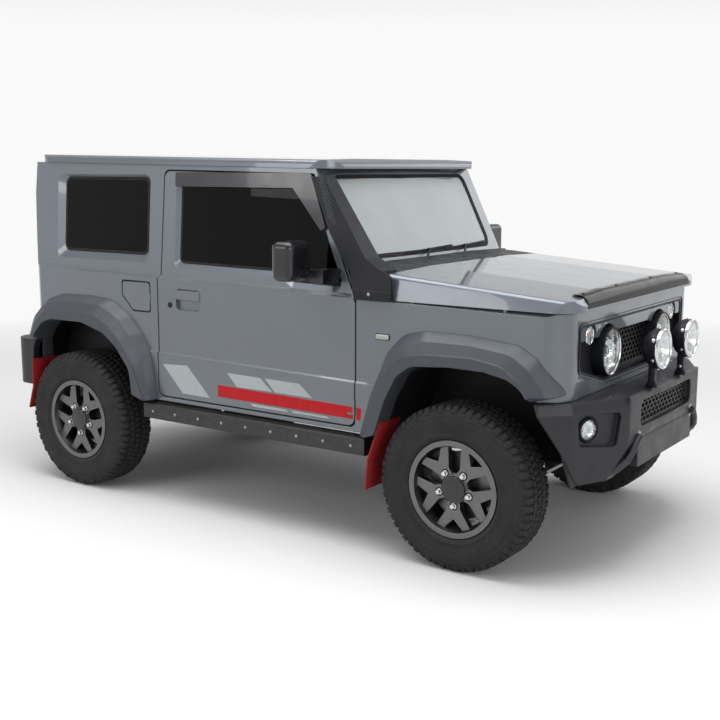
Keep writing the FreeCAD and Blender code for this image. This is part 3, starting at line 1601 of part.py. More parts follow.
def spot_lamps():
    """Two round driving lamps on feet that stand on the bumper's top."""
    made = []
    back_x = spot_front_x - spot_depth
    profile = [(0, 0), (spot_radius * 0.55, 0), (spot_radius * 0.97, spot_depth * 0.5),
               (spot_radius, spot_depth * 0.55), (spot_radius, spot_depth),
               (spot_radius * 0.9, spot_depth), (spot_radius * 0.88, spot_depth * 0.86),
               (0, spot_depth * 0.92)]
    for side_sign in (-1, 1):
        y = side_sign * spot_y
        body = turned(profile, 0, vec(back_x, y, spot_z), vec(1, 0, 0))
        middle = back_x + spot_depth * 0.4
        foot = box(middle - spot_foot, middle + spot_foot, y - spot_foot / 2, y + spot_foot / 2,
                   bumper_top_z, spot_z - spot_radius * 0.6)
        made.append(merge([body, foot]))
    return made


def rear_bumper():
    half = rear_bumper_half_width
    reach = rear_bumper_x
    end_x = rear_axle_x - arch_reach * 0.62
    points = rectangle(reach, end_x, -half, half)
    corner = nose_corner_radius
    outer = plan_prism(points, [corner, 0, 0, corner], rear_bumper_bottom_z, rear_bumper_top_z)
    inner = plan_prism(rectangle(reach + rear_bumper_wall, end_x + overrun, -half + rear_bumper_wall,
                                 half - rear_bumper_wall), [corner / 2, 0, 0, corner / 2],
                       rear_bumper_bottom_z - overrun, rear_bumper_top_z - rear_bumper_wall / 2)
    arch = arch_prism(grown_arch(rear_arch(), liner_thickness), -flare_half_width,
                      flare_half_width)
    tools = [inner, arch, cabin_solid(0)]
    for side_sign in (-1, 1):
        low = rear_lamp_inner if side_sign > 0 else -rear_lamp_outer
        tools.append(box(reach - overrun, reach + rear_lamp_depth, low,
                         low + rear_lamp_outer - rear_lamp_inner, rear_lamp_bottom_z,
                         rear_lamp_top_z))
    spare = rod(vec(reach - overrun, spare_y, spare_z), vec(reach + overrun, spare_y, spare_z),
                tyre_radius + spare_clearance)
    dip = spare.common(box(reach - overrun, reach + rear_bumper_wall * 1.6, -half, half, 0,
                           rear_bumper_top_z + overrun))
    tools.append(dip)
    shell = cut(outer, tools)
    rail_end = rear_axle_x - rail_rear_reach
    brackets = []
    for side_sign in (-1, 1):
        low = rail_inner if side_sign > 0 else -rail_outer
        brackets.append(box(reach + rear_bumper_wall / 2, rail_end, low, low + rail_width,
                            rear_bumper_bottom_z + rear_bumper_wall / 2,
                            rear_bumper_bottom_z + rear_bumper_wall * 2))
    return [merge([shell] + brackets)]


def rear_lamps():
    made = []
    for side_sign in (-1, 1):
        low = rear_lamp_inner if side_sign > 0 else -rear_lamp_outer
        outline = rectangle(low, low + rear_lamp_outer - rear_lamp_inner, rear_lamp_bottom_z,
                            rear_lamp_top_z)
        made.append(front_prism(outline, rear_lamp_depth, rear_bumper_x + seat_gap,
                                rear_bumper_x + rear_lamp_depth))
    return made


# Fittings on the outside
def snorkel():
    """Raised air intake: a foot on the wing, a duct that hugs the right-hand windscreen pillar."""
    made = []
    for shares in (snorkel_foot_shares, snorkel_duct_shares):
        points = []
        for share in shares:
            points.append((snorkel_base_x + share[0] * snorkel_length,
                           snorkel_base_z + share[1] * snorkel_height))
        made.append(side_prism(points, snorkel_radius, -snorkel_foot_half_width, -snorkel_root))
    skin = raked_prism(body_section(-snorkel_duct_proud), 0, tail_x, nose_x)
    beside = box(bonnet_rear_x - cowl_gap, nose_x, -body_half_width - cowl_gap, 0, 0, gutter_z)
    tools = [cabin_solid(-seat_gap), bonnet_solid(-seat_gap, screen_base_x - overrun, nose_x),
             nose_solid(-seat_gap), door_form(shut_gap), beside]
    return [cut(merge(made).common(skin), tools)]


def wipers():
    """Two wiper arms with blades that lie along the foot of the windscreen."""
    made = []
    for share in (-0.42, 0.16):
        y = share * screen_half_base
        pivot = vec(screen_base_x + wiper_pivot_reach, y, bonnet_rear_crease_z - wiper_radius)
        head = pivot + vec(0, 0, wiper_radius * 4)
        tip = vec(screen_base_x + wiper_radius * 2, y + wiper_length * 0.62,
                  screen_bottom_z + wiper_radius * 3)
        arm = rod(head, tip, wiper_radius)
        post = rod(pivot, head, wiper_radius * 1.4)
        ball = Part.makeSphere(wiper_radius * 1.5, head)
        made.append(merge([post, ball, arm]).cut(cowl()))
    return made


# Cabin furniture
def seat(y, x_front, half_width, length):
    """Cushion, leaning back and headrest on a base."""
    x_rear = x_front - length
    base = box(x_rear + back_depth / 2, x_front - back_depth / 2, y - half_width * 0.8,
               y + half_width * 0.8, seat_base_z, cushion_z - cushion_height + cushion_radius)
    cushion = side_prism([(x_rear, cushion_z - cushion_height), (x_front, cushion_z - cushion_height),
                          (x_front, cushion_z), (x_rear, cushion_z - cushion_radius)],
                         cushion_radius, y - half_width, y + half_width)
    lean = back_height * back_lean_share
    low = cushion_z - cushion_height
    back = side_prism([(x_rear + back_depth * 0.6, low), (x_rear + back_depth * 0.6 - lean,
                                                          low + back_height),
                       (x_rear - back_depth * 0.2 - lean, low + back_height),
                       (x_rear - back_depth * 0.4, low)], cushion_radius,
                      y - half_width, y + half_width)
    top_x = x_rear + back_depth * 0.2 - lean
    head = box(top_x - back_depth * 0.45, top_x + back_depth * 0.3, y - head_half_width,
               y + head_half_width, low + back_height + head_gap,
               low + back_height + head_gap + head_height)
    post = box(top_x - link_radius, top_x + link_radius / 2, y - head_half_width / 2,
               y + head_half_width / 2, low + back_height - cushion_radius,
               low + back_height + head_gap + cushion_radius)
    return merge([base, cushion, back, head, post])


def front_seats():
    x_front = front_axle_x - seat_front_setback
    return both_sides([seat(-seat_y, x_front, seat_half_width, seat_length)])


def rear_seat():
    """Bench in two halves over the rear floor."""
    x_front = rear_axle_x + rear_seat_front
    base = rear_floor_z + floor_thickness
    low = base
    half = rear_seat_half_width
    x_rear = x_front - seat_length
    cushion = side_prism([(x_rear, low), (x_front - back_depth, low),
                          (x_front - back_depth, low + cushion_height),
                          (x_rear, low + cushion_height - cushion_radius)], cushion_radius / 2,
                         -half, half)
    lean = back_height * back_lean_share
    back = side_prism([(x_rear + back_depth * 0.6, low), (x_rear + back_depth * 0.6 - lean,
                                                          low + back_height),
                       (x_rear - back_depth * 0.2 - lean, low + back_height),
                       (x_rear - back_depth * 0.3, low)], cushion_radius / 2, -half, half)
    return [merge([cushion, back])]


def dashboard():
    """Padded beam under the windscreen, a hood over the dials and the steering column."""
    front_x = firewall_x - seat_gap
    half = dash_half_width
    outline = [(dash_rear_x, dash_bottom_z + cushion_radius * 2), (front_x, dash_bottom_z),
               (front_x, dash_top_z - belt_ledge_rise * 5),
               (screen_base_x - belt_ledge_rise * 2, dash_top_z), (dash_rear_x + cushion_radius * 2,
                                                                 dash_top_z),
               (dash_rear_x, dash_top_z - cushion_radius * 2)]
    beam = side_prism(outline, cushion_radius * 0.6, -half, half)
    inner = raked_prism(body_section(wall + seat_gap), 0, tail_x, nose_x)
    beam = beam.common(inner).common(screen_prism(wall + seat_gap))
    hood = box(dash_rear_x - cushion_radius / 2, dash_rear_x + seat_half_width * 0.8,
               steering_y - seat_half_width * 0.75, steering_y + seat_half_width * 0.75,
               dash_top_z - cushion_radius * 2.4, dash_top_z + cushion_radius / 2)
    centre = vec(steering_x, steering_y, steering_z)
    axis = steering_axis()
    column = rod(centre + axis * (wheel_rim_wire * 2), centre + axis * (wheel_rim_radius * 1.3),
                 column_radius)
    return [merge([beam, hood, column])]


def steering_axis():
    """Direction of the steering column, down and towards the front."""
    tilt = math.radians(steering_tilt)
    return vec(math.cos(tilt), 0, -math.sin(tilt))


def steering_wheel():
    """Round rim on a hub, with one spoke to each side and two to the bottom."""
    centre = vec(steering_x, steering_y, steering_z)
    axis = steering_axis()
    wire = wheel_rim_wire
    middle = wheel_rim_radius - wire
    section = [(middle - wire, -wire), (middle + wire, -wire), (middle + wire, wire),
               (middle - wire, wire)]
    made = [turned(section, wire * 0.8, centre, axis)]
    made.append(rod(centre - axis * (wire * 0.6), centre + axis * (wire * 2 - seat_gap), wire * 3.4))
    across = vec(0, 1, 0)
    down = across.cross(axis)
    for angle in wheel_spoke_angles:
        turn = math.radians(angle)
        direction = across * math.cos(turn) + down * math.sin(turn)
        made.append(rod(centre, centre + direction * middle, wire * 0.7))
    return [merge(made)]


# Running gear
def rail_outline():
    """Side view of one frame rail, raised over both axles."""
    front_end = front_axle_x + rail_front_reach
    rear_end = rear_axle_x - rail_rear_reach
    lower = [(rear_end, rail_rise_z - rail_height * 0.4),
             (rear_axle_x - rise_half_length, rail_rise_z),
             (rear_axle_x + rise_half_length, rail_rise_z),
             (rear_axle_x + rise_half_length + rise_run, rail_low_z),
             (front_axle_x - rise_half_length - rise_run, rail_low_z),
             (front_axle_x - rise_half_length, rail_rise_z),
             (front_axle_x + rise_half_length, rail_rise_z),
             (front_axle_x + rise_half_length + rise_run, rail_horn_z),
             (front_end, rail_horn_z)]
    upper = [(x, z + rail_height) for x, z in lower]
    return lower + upper[::-1]


def chassis_frame():
    """Two box rails, round cross tubes and the mounts that carry the body."""
    made = []
    rail = side_prism(rail_outline(), 0, -rail_outer, -rail_inner)
    made.extend(both_sides([rail]))
    mid_rear = rear_axle_x + rise_half_length + rise_run
    mid_front = front_axle_x - rise_half_length - rise_run
    places = [(radiator_x() - radiator_thickness / 2, rail_horn_z + rail_height / 2),
              (mid_front + mount_radius, cross_z), (gearbox_mount_x, cross_z),
              (rear_axle_x - rise_half_length - mount_radius, rail_rise_z + rail_height / 2),
              (rear_axle_x - rail_rear_reach + mount_radius, rail_rise_z + mount_radius / 2)]
    for x, z in places:
        made.append(rod(vec(x, -rail_inner - rail_width / 2, z), vec(x, rail_inner + rail_width / 2, z),
                        cross_radius))
    for x in (mid_rear + mount_radius, mid_front - mount_radius):
        for side_sign in (-1, 1):
            y = side_sign * (rail_inner + rail_width / 2)
            made.append(rod(vec(x, y, rail_low_z + rail_height / 2), vec(x, y, floor_z),
                            rail_width * 0.45))
    return [merge(made)]


def floor_pan():
    """Floor with its toe board, firewall and the raised part over the rear axle."""
    step_x = rear_axle_x + rear_floor_front
    toe_x = firewall_x - toe_run
    rear_x = tail_x + wall
    t = floor_thickness
    outline = [(rear_x, rear_floor_z), (step_x, rear_floor_z), (step_x, floor_z), (toe_x, floor_z),
               (firewall_x + t, floor_z + toe_rise), (firewall_x + t, firewall_top_z),
               (firewall_x, firewall_top_z), (firewall_x, floor_z + toe_rise + t / 2),
               (toe_x - t / 2, floor_z + t), (step_x + t, floor_z + t),
               (step_x + t, rear_floor_z + t), (rear_x, rear_floor_z + t)]
    pan = side_prism(outline, 0, -floor_half_width, floor_half_width)
    tools = []
    for side_sign in (-1, 1):
        low = rear_floor_half_width if side_sign > 0 else -overrun * 2
        tools.append(box(tail_x, rear_axle_x + arch_reach * 0.9, low,
                         low + overrun * 2 - rear_floor_half_width, 0, gutter_z))
    return [cut(pan, tools)]


def ball_centre(side_sign):
    return vec(front_axle_x, side_sign * kingpin_half_track, tyre_radius)


def differential(x, y, nose_side):
    """Round housing with a flat nose where the shaft arrives."""
    profile = [(0, -diff_half_length), (diff_radius * 0.6, -diff_half_length),
               (diff_radius, -diff_half_length * 0.4), (diff_radius, diff_half_length * 0.4),
               (diff_radius * 0.6, diff_half_length), (0, diff_half_length)]
    case = turned(profile, 0, vec(x, y, tyre_radius), vec(0, 1, 0))
    nose = rod(vec(x, y, tyre_radius), vec(x + nose_side * diff_nose_reach, y, tyre_radius),
               diff_nose_radius)
    return merge([case, nose])


def axle_pad(x):
    """Seat for the spring and damper on the axle tube."""
    return box(x - pad_half_length, x + pad_half_length, -rail_inner - rail_width / 2 - pad_half_width,
               -rail_inner - rail_width / 2 + pad_half_width, tyre_radius + axle_radius * 0.6,
               tyre_radius + axle_radius + pad_thickness)


def front_axle():
    """Tube with a ball at each end for the steering knuckles, the housing and its links."""
    tube = rod(vec(front_axle_x, -kingpin_half_track, tyre_radius),
               vec(front_axle_x, kingpin_half_track, tyre_radius), axle_radius)
    made = [tube, differential(front_axle_x, diff_offset, -1)]
    for side_sign in (-1, 1):
        made.append(Part.makeSphere(ball_radius, ball_centre(side_sign)))
    made.extend(both_sides([axle_pad(front_axle_x)]))
    link = link_bar(front_axle_x, -1)
    made.extend(both_sides([link]))
    return [merge(made)]


def link_bar(axle_x, towards):
    """Trailing link from the axle to a round eye under the frame rail."""
    y = -rail_inner - rail_width / 2
    eye_x = axle_x + towards * link_reach
    eye_z = rail_low_z - link_radius * 1.4 - seat_gap
    bar = rod(vec(axle_x, y, tyre_radius - axle_radius / 2), vec(eye_x, y, eye_z), link_radius)
    eye = rod(vec(eye_x, y - rail_width / 2, eye_z), vec(eye_x, y + rail_width / 2, eye_z),
              link_radius * 1.4)
    return merge([bar, eye])


def rear_axle():
    """Tube with the housing in its middle, flanges and stubs at the wheels, and its links."""
    half = rear_track / 2
    flange = half + spoke_face - hub_depth - brake_gap
    tube = rod(vec(rear_axle_x, -flange, tyre_radius), vec(rear_axle_x, flange, tyre_radius),
               axle_radius)
    stubs = rod(vec(rear_axle_x, -flange - stub_length, tyre_radius),
                vec(rear_axle_x, flange + stub_length, tyre_radius), stub_radius)
    made = [tube, stubs, differential(rear_axle_x, 0, 1)]
    made.extend(both_sides([axle_pad(rear_axle_x)]))
    made.extend(both_sides([link_bar(rear_axle_x, 1)]))
    return [merge(made)]


def spring(x, y, low_z, high_z):
    """Coil of many-sided wire with flat ends."""
    pitch = (high_z - low_z) / spring_turns
    middle = spring_radius - spring_wire / 2
    line = Part.makeHelix(pitch, high_z - low_z + spring_wire * 2, middle)
    corners = []
    for index in range(spring_wire_sides + 1):
        turn = math.radians(360 * index / spring_wire_sides)
        corners.append(vec(middle + spring_wire / 2 * math.cos(turn), 0, spring_wire / 2 * math.sin(turn)))
    ring = Part.makePolygon(corners)
    coil = Part.Wire(line.Edges).makePipeShell([ring], True, True)
    coil.translate(vec(x, y, low_z - spring_wire))
    reach = spring_radius + spring_wire
    return coil.common(box(x - reach, x + reach, y - reach, y + reach, low_z, high_z))


def suspension():
    """Coil springs and dampers between the axle pads and the frame rails."""
    made = []
    y = -rail_inner - rail_width / 2
    low = tyre_radius + axle_radius + pad_thickness
    for axle_x in (front_axle_x, rear_axle_x):
        made.append(spring(axle_x + pad_half_width, y, low, rail_rise_z))
        x = axle_x - pad_half_length + damper_radius * 1.5
        made.append(rod(vec(x, y, low), vec(x, y, rail_rise_z), damper_radius))
    return both_sides(made)


def knuckle():
    """Left-hand cup round the axle's ball, the wheel's stub and the steering arm."""
    centre = ball_centre(1)
    inner = ball_radius + knuckle_gap
    outer = inner + knuckle_shell
    facet = math.tan(math.pi / 8)
    neck = ball_radius * 0.8
    face = front_track / 2 + spoke_face - hub_depth - brake_gap - centre.y
    profile = [(inner, 0), (outer, 0), (outer, outer * facet),
               (neck, outer * (1 + facet) - neck), (neck, face), (stub_radius, face),
               (stub_radius, face + stub_length), (0, face + stub_length), (0, inner),
               (inner * facet, inner), (inner, inner * facet)]
    cup = turned(profile, 0, centre, vec(0, 1, 0))
    up = vec(0, 0, inner)
    rise = vec(0, 0, knuckle_shell + kingpin_height)
    pins = [rod(centre + up, centre + up + rise, kingpin_radius),
            rod(centre - up, centre - up - rise, kingpin_radius)]
    arm_z = centre.z - arm_drop
    arm = box(centre.x + inner, centre.x + arm_reach, centre.y - arm_half_width,
              centre.y + arm_half_width, arm_z - arm_thickness / 2, arm_z + arm_thickness / 2)
    eye = rod(vec(centre.x + arm_reach, centre.y, arm_z - arm_thickness / 2),
              vec(centre.x + arm_reach, centre.y, arm_z + arm_thickness / 2), arm_half_width * 1.3)
    return merge([cup, arm, eye] + pins)


def tie_rod():
    """Rod ahead of the axle that joins both steering arms, with an eye at each end."""
    x = front_axle_x + arm_reach
    z = tyre_radius - arm_drop - arm_thickness / 2 - seat_gap - tie_rod_radius
    bar = rod(vec(x, -kingpin_half_track, z), vec(x, kingpin_half_track, z), tie_rod_radius)
    ends = []
    for side_sign in (-1, 1):
        y = side_sign * kingpin_half_track
        ends.append(rod(vec(x, y, z - tie_rod_radius), vec(x, y, z + tie_rod_radius),
                        arm_half_width * 1.3))
    return [merge([bar] + ends)]


# Wheels
def tyre(x, y, side_sign):
    """Hollow tyre, open towards the rim, with rounded shoulders."""
    half = tyre_width / 2
    outer = [(bead_radius, -half * 0.78), (rim_lip_radius + rim_skin / 4, -half * 0.78),
             (rim_lip_radius + tyre_wall, -half),
             (tyre_radius - shoulder_drop * 4, -half), (tyre_radius - shoulder_drop, -tread_half_width),
             (tyre_radius, -tread_half_width + shoulder_drop),
             (tyre_radius, tread_half_width - shoulder_drop),
             (tyre_radius - shoulder_drop, tread_half_width), (tyre_radius - shoulder_drop * 4, half),
             (rim_lip_radius + tyre_wall, half), (rim_lip_radius + rim_skin / 4, half * 0.78),
             (bead_radius, half * 0.78)]
    inner = [(bead_radius, half * 0.78 - tyre_wall), (tyre_radius - shoulder_drop * 4,
                                                      half - tyre_wall * 1.5),
             (tyre_radius - shoulder_drop * 2, tread_half_width * 0.7),
             (tyre_radius - shoulder_drop * 2, -tread_half_width * 0.7),
             (tyre_radius - shoulder_drop * 4, -half + tyre_wall * 1.5),
             (bead_radius, -half * 0.78 + tyre_wall)]
    return turned(outer + inner, 0, vec(x, y, tyre_radius), vec(0, side_sign, 0))


def rim_form(centre, axis, disc_radius, disc_thickness):
    """Alloy rim: a barrel with lips, split spokes and a hub with a brake disc or drum behind it."""
    seat = bead_radius - seat_gap
    half = tyre_width / 2 * 0.78
    barrel = [(seat - rim_skin, -rim_half_width), (rim_lip_radius, -rim_half_width),
              (rim_lip_radius, -half - seat_gap), (seat, -half - seat_gap), (seat, -half + tyre_wall),
              (rim_barrel_radius, -half + tyre_wall * 2), (rim_barrel_radius, half - tyre_wall * 2),
              (seat, half - tyre_wall), (seat, half + seat_gap), (rim_lip_radius, half + seat_gap),
              (rim_lip_radius, rim_half_width), (seat - rim_skin, rim_half_width),
              (rim_barrel_radius - rim_skin, half - tyre_wall * 2),
              (rim_barrel_radius - rim_skin, -half + tyre_wall * 2)]
    made = [turned(barrel, 0, vec(0, 0, 0), vec(0, 0, 1))]
    face = spoke_face
    back = face - hub_depth
    bore = stub_radius + bore_clearance
    hub = [(bore, back - disc_thickness), (disc_radius, back - disc_thickness),
           (disc_radius, back + rim_skin), (hub_radius, back + rim_skin), (hub_radius, face - rim_skin),
           (hub_radius - rim_skin, face), (hub_cap_radius, face),
           (hub_cap_radius, face + hub_cap_height), (0, face + hub_cap_height),
           (0, back + stub_length + hub_cap_height), (bore, back + stub_length + hub_cap_height)]
    made.append(turned(hub, 0, vec(0, 0, 0), vec(0, 0, 1)))
    for index in range(spoke_count):
        spoke = forked_spoke()
        spoke.rotate(vec(0, 0, 0), vec(0, 0, 1), 360 * index / spoke_count - 90)
        made.append(spoke)
    rim = merge(made)
    rim.Placement = FreeCAD.Placement(centre, FreeCAD.Rotation(vec(0, 0, 1), axis))
    return rim


def forked_spoke():
    """One spoke that forks half way from the hub to the rim's lip."""
    inner = hub_radius - rim_skin
    outer = bead_radius - rim_skin - seat_gap
    fork = inner + (outer - inner) * spoke_fork_share
    turn = math.radians(spoke_spread)
    leg = spoke_leg_half_width
    end = (math.cos(turn) * outer, math.sin(turn) * outer)
    run = (end[0] - fork, end[1])
    length = math.hypot(*run)
    side = (-run[1] / length * leg, run[0] / length * leg)
    over = (run[0] / length * rim_skin, run[1] / length * rim_skin)
    upper = [(inner, spoke_half_width), (fork - leg, spoke_half_width),
             (end[0] + side[0] + over[0], end[1] + side[1] + over[1]),
             (end[0] - side[0] + over[0], end[1] - side[1] + over[1]), (fork + leg * 2, 0)]
    lower = [(u, -v) for u, v in upper[-2::-1]]
    base = spoke_face - spoke_depth
    radii = [0, rim_skin, 0, 0, rim_skin / 2, 0, 0, rim_skin, 0]
    spoke = plan_prism(upper + lower, radii, base, base + spoke_depth * 0.9)
    ring = turned([(0, base), (outer, base), (outer, base + spoke_depth), (0, base + spoke_depth)], 0,
                  vec(0, 0, 0), vec(0, 0, 1))
    return spoke.common(ring)


def wheel_centre(front, side_sign):
    x = front_axle_x if front else rear_axle_x
    track = front_track if front else rear_track
    return vec(x, side_sign * track / 2, tyre_radius)


def rim(front, side_sign):
    disc = brake_radius if front else drum_radius
    return rim_form(wheel_centre(front, side_sign), vec(0, side_sign, 0), disc,
                    brake_gap - knuckle_gap)


def spare_rim():
    centre = vec(spare_rear_x + tyre_width / 2, spare_y, spare_z)
    return rim_form(centre, vec(-1, 0, 0), hub_radius + rim_skin, 0)


def spare_tyre():
    form = tyre(0, 0, 1)
    form.translate(vec(0, 0, -tyre_radius))
    form.rotate(vec(0, 0, 0), vec(0, 0, 1), 90)
    form.translate(vec(spare_rear_x + tyre_width / 2, spare_y, spare_z))
    return form


# Engine, shafts, exhaust and tank
def engine_block():
    """Engine and gearbox as plain blocks, with the mounts that reach the frame rails."""
    x_rear = front_axle_x - engine_rear_setback
    x_front = front_axle_x + engine_front
    engine = box(x_rear, x_front, -engine_half_width, engine_half_width, engine_bottom_z,
                 engine_top_z)
    gearbox = box(gearbox_rear, x_rear + hub_radius, -gearbox_half_width, gearbox_half_width,
                  gearbox_bottom_z, gearbox_top_z)
    mounts = box(front_axle_x - pad_half_width, front_axle_x + pad_half_width, -rail_inner, rail_inner,
                 rail_rise_z + pad_thickness, rail_rise_z + pad_half_width)
    return [merge([engine, gearbox, mounts])]


def radiator_x():
    """Front face of the radiator, behind the grille tray."""
    return nose_x - grille_depth - radiator_thickness


def radiator():
    x = radiator_x()
    low = rail_horn_z + rail_height / 2 + cross_radius
    return [box(x - radiator_thickness, x, -radiator_half_width, radiator_half_width, low,
                firewall_top_z - radiator_thickness * 2)]


def driveline():
    """Transfer case on its cross tube and a shaft to each axle."""
    low = cross_z + cross_radius
    case = box(gearbox_mount_x - transfer_half_length, gearbox_rear - seat_gap, -transfer_half_width,
               gearbox_half_width, low, gearbox_top_z - seat_gap)
    out_z = low + shaft_radius + seat_gap
    made = [case]
    for out_x, nose_x_at, y_end in ((gearbox_rear - seat_gap, front_axle_x - diff_nose_reach,
                                     diff_offset),
                                    (gearbox_mount_x - transfer_half_length,
                                     rear_axle_x + diff_nose_reach, 0)):
        towards = 1 if nose_x_at > out_x else -1
        y_out = diff_offset
        start = vec(out_x - towards * shaft_radius, y_out, out_z)
        end = vec(nose_x_at - towards * (shaft_radius + seat_gap), y_end, tyre_radius)
        made.append(rod(start, end, shaft_radius))
        made.append(rod(end - vec(towards * shaft_radius, 0, 0),
                        vec(nose_x_at - towards * seat_gap, y_end, tyre_radius),
                        shaft_radius * 1.6))
    return [merge(made)]


def exhaust():
    """Pipe along the right-hand rail, over the rear axle, to a muffler behind it."""
    x_front = front_axle_x - engine_rear_setback - pipe_radius * 3
    over_x = rear_axle_x + rise_half_length
    muffler_x = rear_axle_x - diff_radius - muffler_radius / 2
    start = vec(x_front, pipe_y, pipe_z)
    bend = vec(over_x, pipe_y, pipe_z)
    end = vec(muffler_x, pipe_y, pipe_z + pipe_radius)
    parts = [rod(start, bend, pipe_radius), rod(bend, end, pipe_radius),
             Part.makeSphere(pipe_radius, bend)]
    foot_z = cross_z + cross_radius + seat_gap
    parts.append(box(gearbox_mount_x - pipe_radius / 2, gearbox_mount_x + pipe_radius / 2,
                     pipe_y - pipe_radius / 2, pipe_y + pipe_radius / 2, foot_z, pipe_z))
    muffler = rod(vec(muffler_x, pipe_y, pipe_z + pipe_radius),
                  vec(muffler_x - muffler_length, pipe_y, pipe_z + pipe_radius), muffler_radius)
    return [merge(parts + [muffler])]


def fuel_tank():
    x_front = rear_axle_x + rear_floor_front - floor_thickness
    return [box(x_front - tank_length, x_front, shaft_radius * 3, rail_inner - floor_thickness,
                rail_low_z + floor_thickness, rear_floor_z - seat_gap)]


def pieces():
    """Every sub-part by name, with its solids."""
    parts = {}
    parts["chassis_frame"] = chassis_frame()
    parts["floor_pan"] = floor_pan()
    parts["body_side_right"] = [body_side_right()]
    parts["body_side_left"] = [mirrored(body_side())]
    parts["roof_panel"] = [roof_panel()]
    parts["rear_frame"] = [rear_frame()]
    parts["windscreen_frame"] = [windscreen_frame()]
    parts["cowl"] = [cowl()]
    parts["wing_right"] = [wing()]
    parts["wing_left"] = [mirrored(wing())]
    parts["front_panel"] = [front_panel()]
    parts["grille"] = [grille()]
    parts["front_lamps"] = headlamps() + fog_lamps()
    parts["front_bumper"] = front_bumper()
    parts["spot_lamps"] = spot_lamps()
    parts["rear_bumper"] = rear_bumper()
    parts["rear_lamps"] = rear_lamps()
    parts["arch_flares"] = arch_flares()
    parts["arch_liners"] = liners()
    parts["side_steps"] = side_steps()
    parts["mud_flaps"] = mud_flaps()
    parts["windscreen"] = [windscreen()]
    parts["quarter_windows"] = quarter_glass()
    parts["snorkel"] = snorkel()
    parts["wipers"] = wipers()
    parts["dashboard"] = dashboard()
    parts["seats"] = front_seats() + rear_seat()
    parts["engine_block"] = engine_block() + radiator()
    parts["front_axle"] = front_axle()
    parts["rear_axle"] = rear_axle()
    parts["suspension"] = suspension()
    parts["driveline"] = driveline()
    parts["exhaust"] = exhaust()
    parts["fuel_tank"] = fuel_tank()
    parts["steering_wheel"] = steering_wheel()
    parts["tie_rod"] = tie_rod()
    parts["bonnet"] = [bonnet()]
    parts["fuel_flap"] = [fuel_flap()]
    parts["tailgate"] = [tailgate()]
    parts["tailgate_glass"] = [tailgate_glass()]
    parts["spare_tyre"] = [spare_tyre()]
    parts["spare_rim"] = [spare_rim()]
    for side, sign in (("right", -1), ("left", 1)):
        flip = (lambda shape: shape) if sign < 0 else mirrored
        parts["door_" + side] = [flip(door())]
        parts["door_glass_" + side] = [flip(door_glass())]
        parts["door_mirror_" + side] = [flip(door_mirror())]
        parts["rain_shield_" + side] = [flip(rain_shield())]
        parts["knuckle_" + side] = [knuckle()] if sign > 0 else [mirrored(knuckle())]
        for end, front in (("front", True), ("rear", False)):
            centre = wheel_centre(front, sign)
            parts["tyre_" + end + "_" + side] = [tyre(centre.x, centre.y, sign)]
            parts["rim_" + end + "_" + side] = [rim(front, sign)]
    return parts


def tailgate_glass():
    cutter = front_prism(rear_glass_outline(), rear_glass_radius, tail_x - overrun, tail_x + overrun / 2)
    return pane(cutter)


def main():
    os.makedirs("parts", exist_ok=True)
    for name, shapes in pieces().items():
        save(name, shapes)


main()
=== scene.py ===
"""Looks of the small boxy off-road car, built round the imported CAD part.

Places are metres. The sizes that spun, slab, block and nut_form take are millimetres.
"""
import bpy
import bmesh
import json
import math
from mathutils import Matrix
from mathutils import Vector
from mathutils.bvhtree import BVHTree


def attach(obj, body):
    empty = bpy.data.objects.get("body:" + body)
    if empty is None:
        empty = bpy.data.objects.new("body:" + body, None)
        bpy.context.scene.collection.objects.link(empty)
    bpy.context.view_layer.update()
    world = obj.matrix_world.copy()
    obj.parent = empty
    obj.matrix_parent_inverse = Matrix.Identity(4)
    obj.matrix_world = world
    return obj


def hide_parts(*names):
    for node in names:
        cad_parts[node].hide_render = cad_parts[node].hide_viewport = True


CAMERA_PLACE = (3.3168, -4.6004, 1.6534)
CAMERA_AZIMUTH = 34.68
CAMERA_ELEVATION = 9.88
CAMERA_ROLL = 0.11
CAMERA_LENS = 55.24

WHEEL_RADIUS = 0.3525
WHEELS = {
    "front_right": (1.14, -0.6975, -1),
    "front_left": (1.14, 0.6975, 1),
    "rear_right": (-1.11, -0.7025, -1),
    "rear_left": (-1.11, 0.7025, 1),
}
SPARE_PLACE = (-1.683, 0.0, 0.845)
LAMP_PLACE = (1.546, 0.298, 0.905)
INDICATOR_PLACE = (1.5562, 0.472, 0.992)
SPOT_PLACE = (1.707, 0.178, 0.917)
FOG_PLACE = (1.6205, 0.5818, 0.634)
FOG_AXIS = (0.901, 0.4338, 0.0)
FORWARD = (1, 0, 0)

# Millimetres in a metre
MM = 1000.0
SIDES = ((-1, "right"), (1, "left"))
OUTSIDE_Y = 1.2
TYRE_LUGS = 62
TREAD_BLOCKS = 78
WHEEL_NUTS = 5
SPOT_FINS = 24
SPOT_BOLTS = 6
LAMP_RIBS = 7
GUARD_X = 1.548
GUARD_Z = 1.098
FILM_THICKNESS = 0.0007
FILM_SINK = 0.0003
BAND_HEIGHT = 0.0012
MESH_BARS = 15
STEP_BOLTS = 9
STEP_RIBS = 6
REAR_LAMP_Y = 0.585
REAR_LAMP_Z = 0.65
DOOR_LOCK = (-0.48, OUTSIDE_Y, 0.994)
MIRROR_FACE = (0.3346, 0.8825, 1.26)
SIDE_INDICATOR = (0.76, OUTSIDE_Y, 0.946)
WIPER_PIVOTS = (-0.2596, 0.0989)
BLADE_LENGTH = 0.44
STEP_Y = 0.7375
FRONT_SEAT_Y = 0.35
REAR_SEAT_Y = 0.2705
FLOOR_HALF = 90.0
DUST_COLOUR = (0.13, 0.12, 0.105)

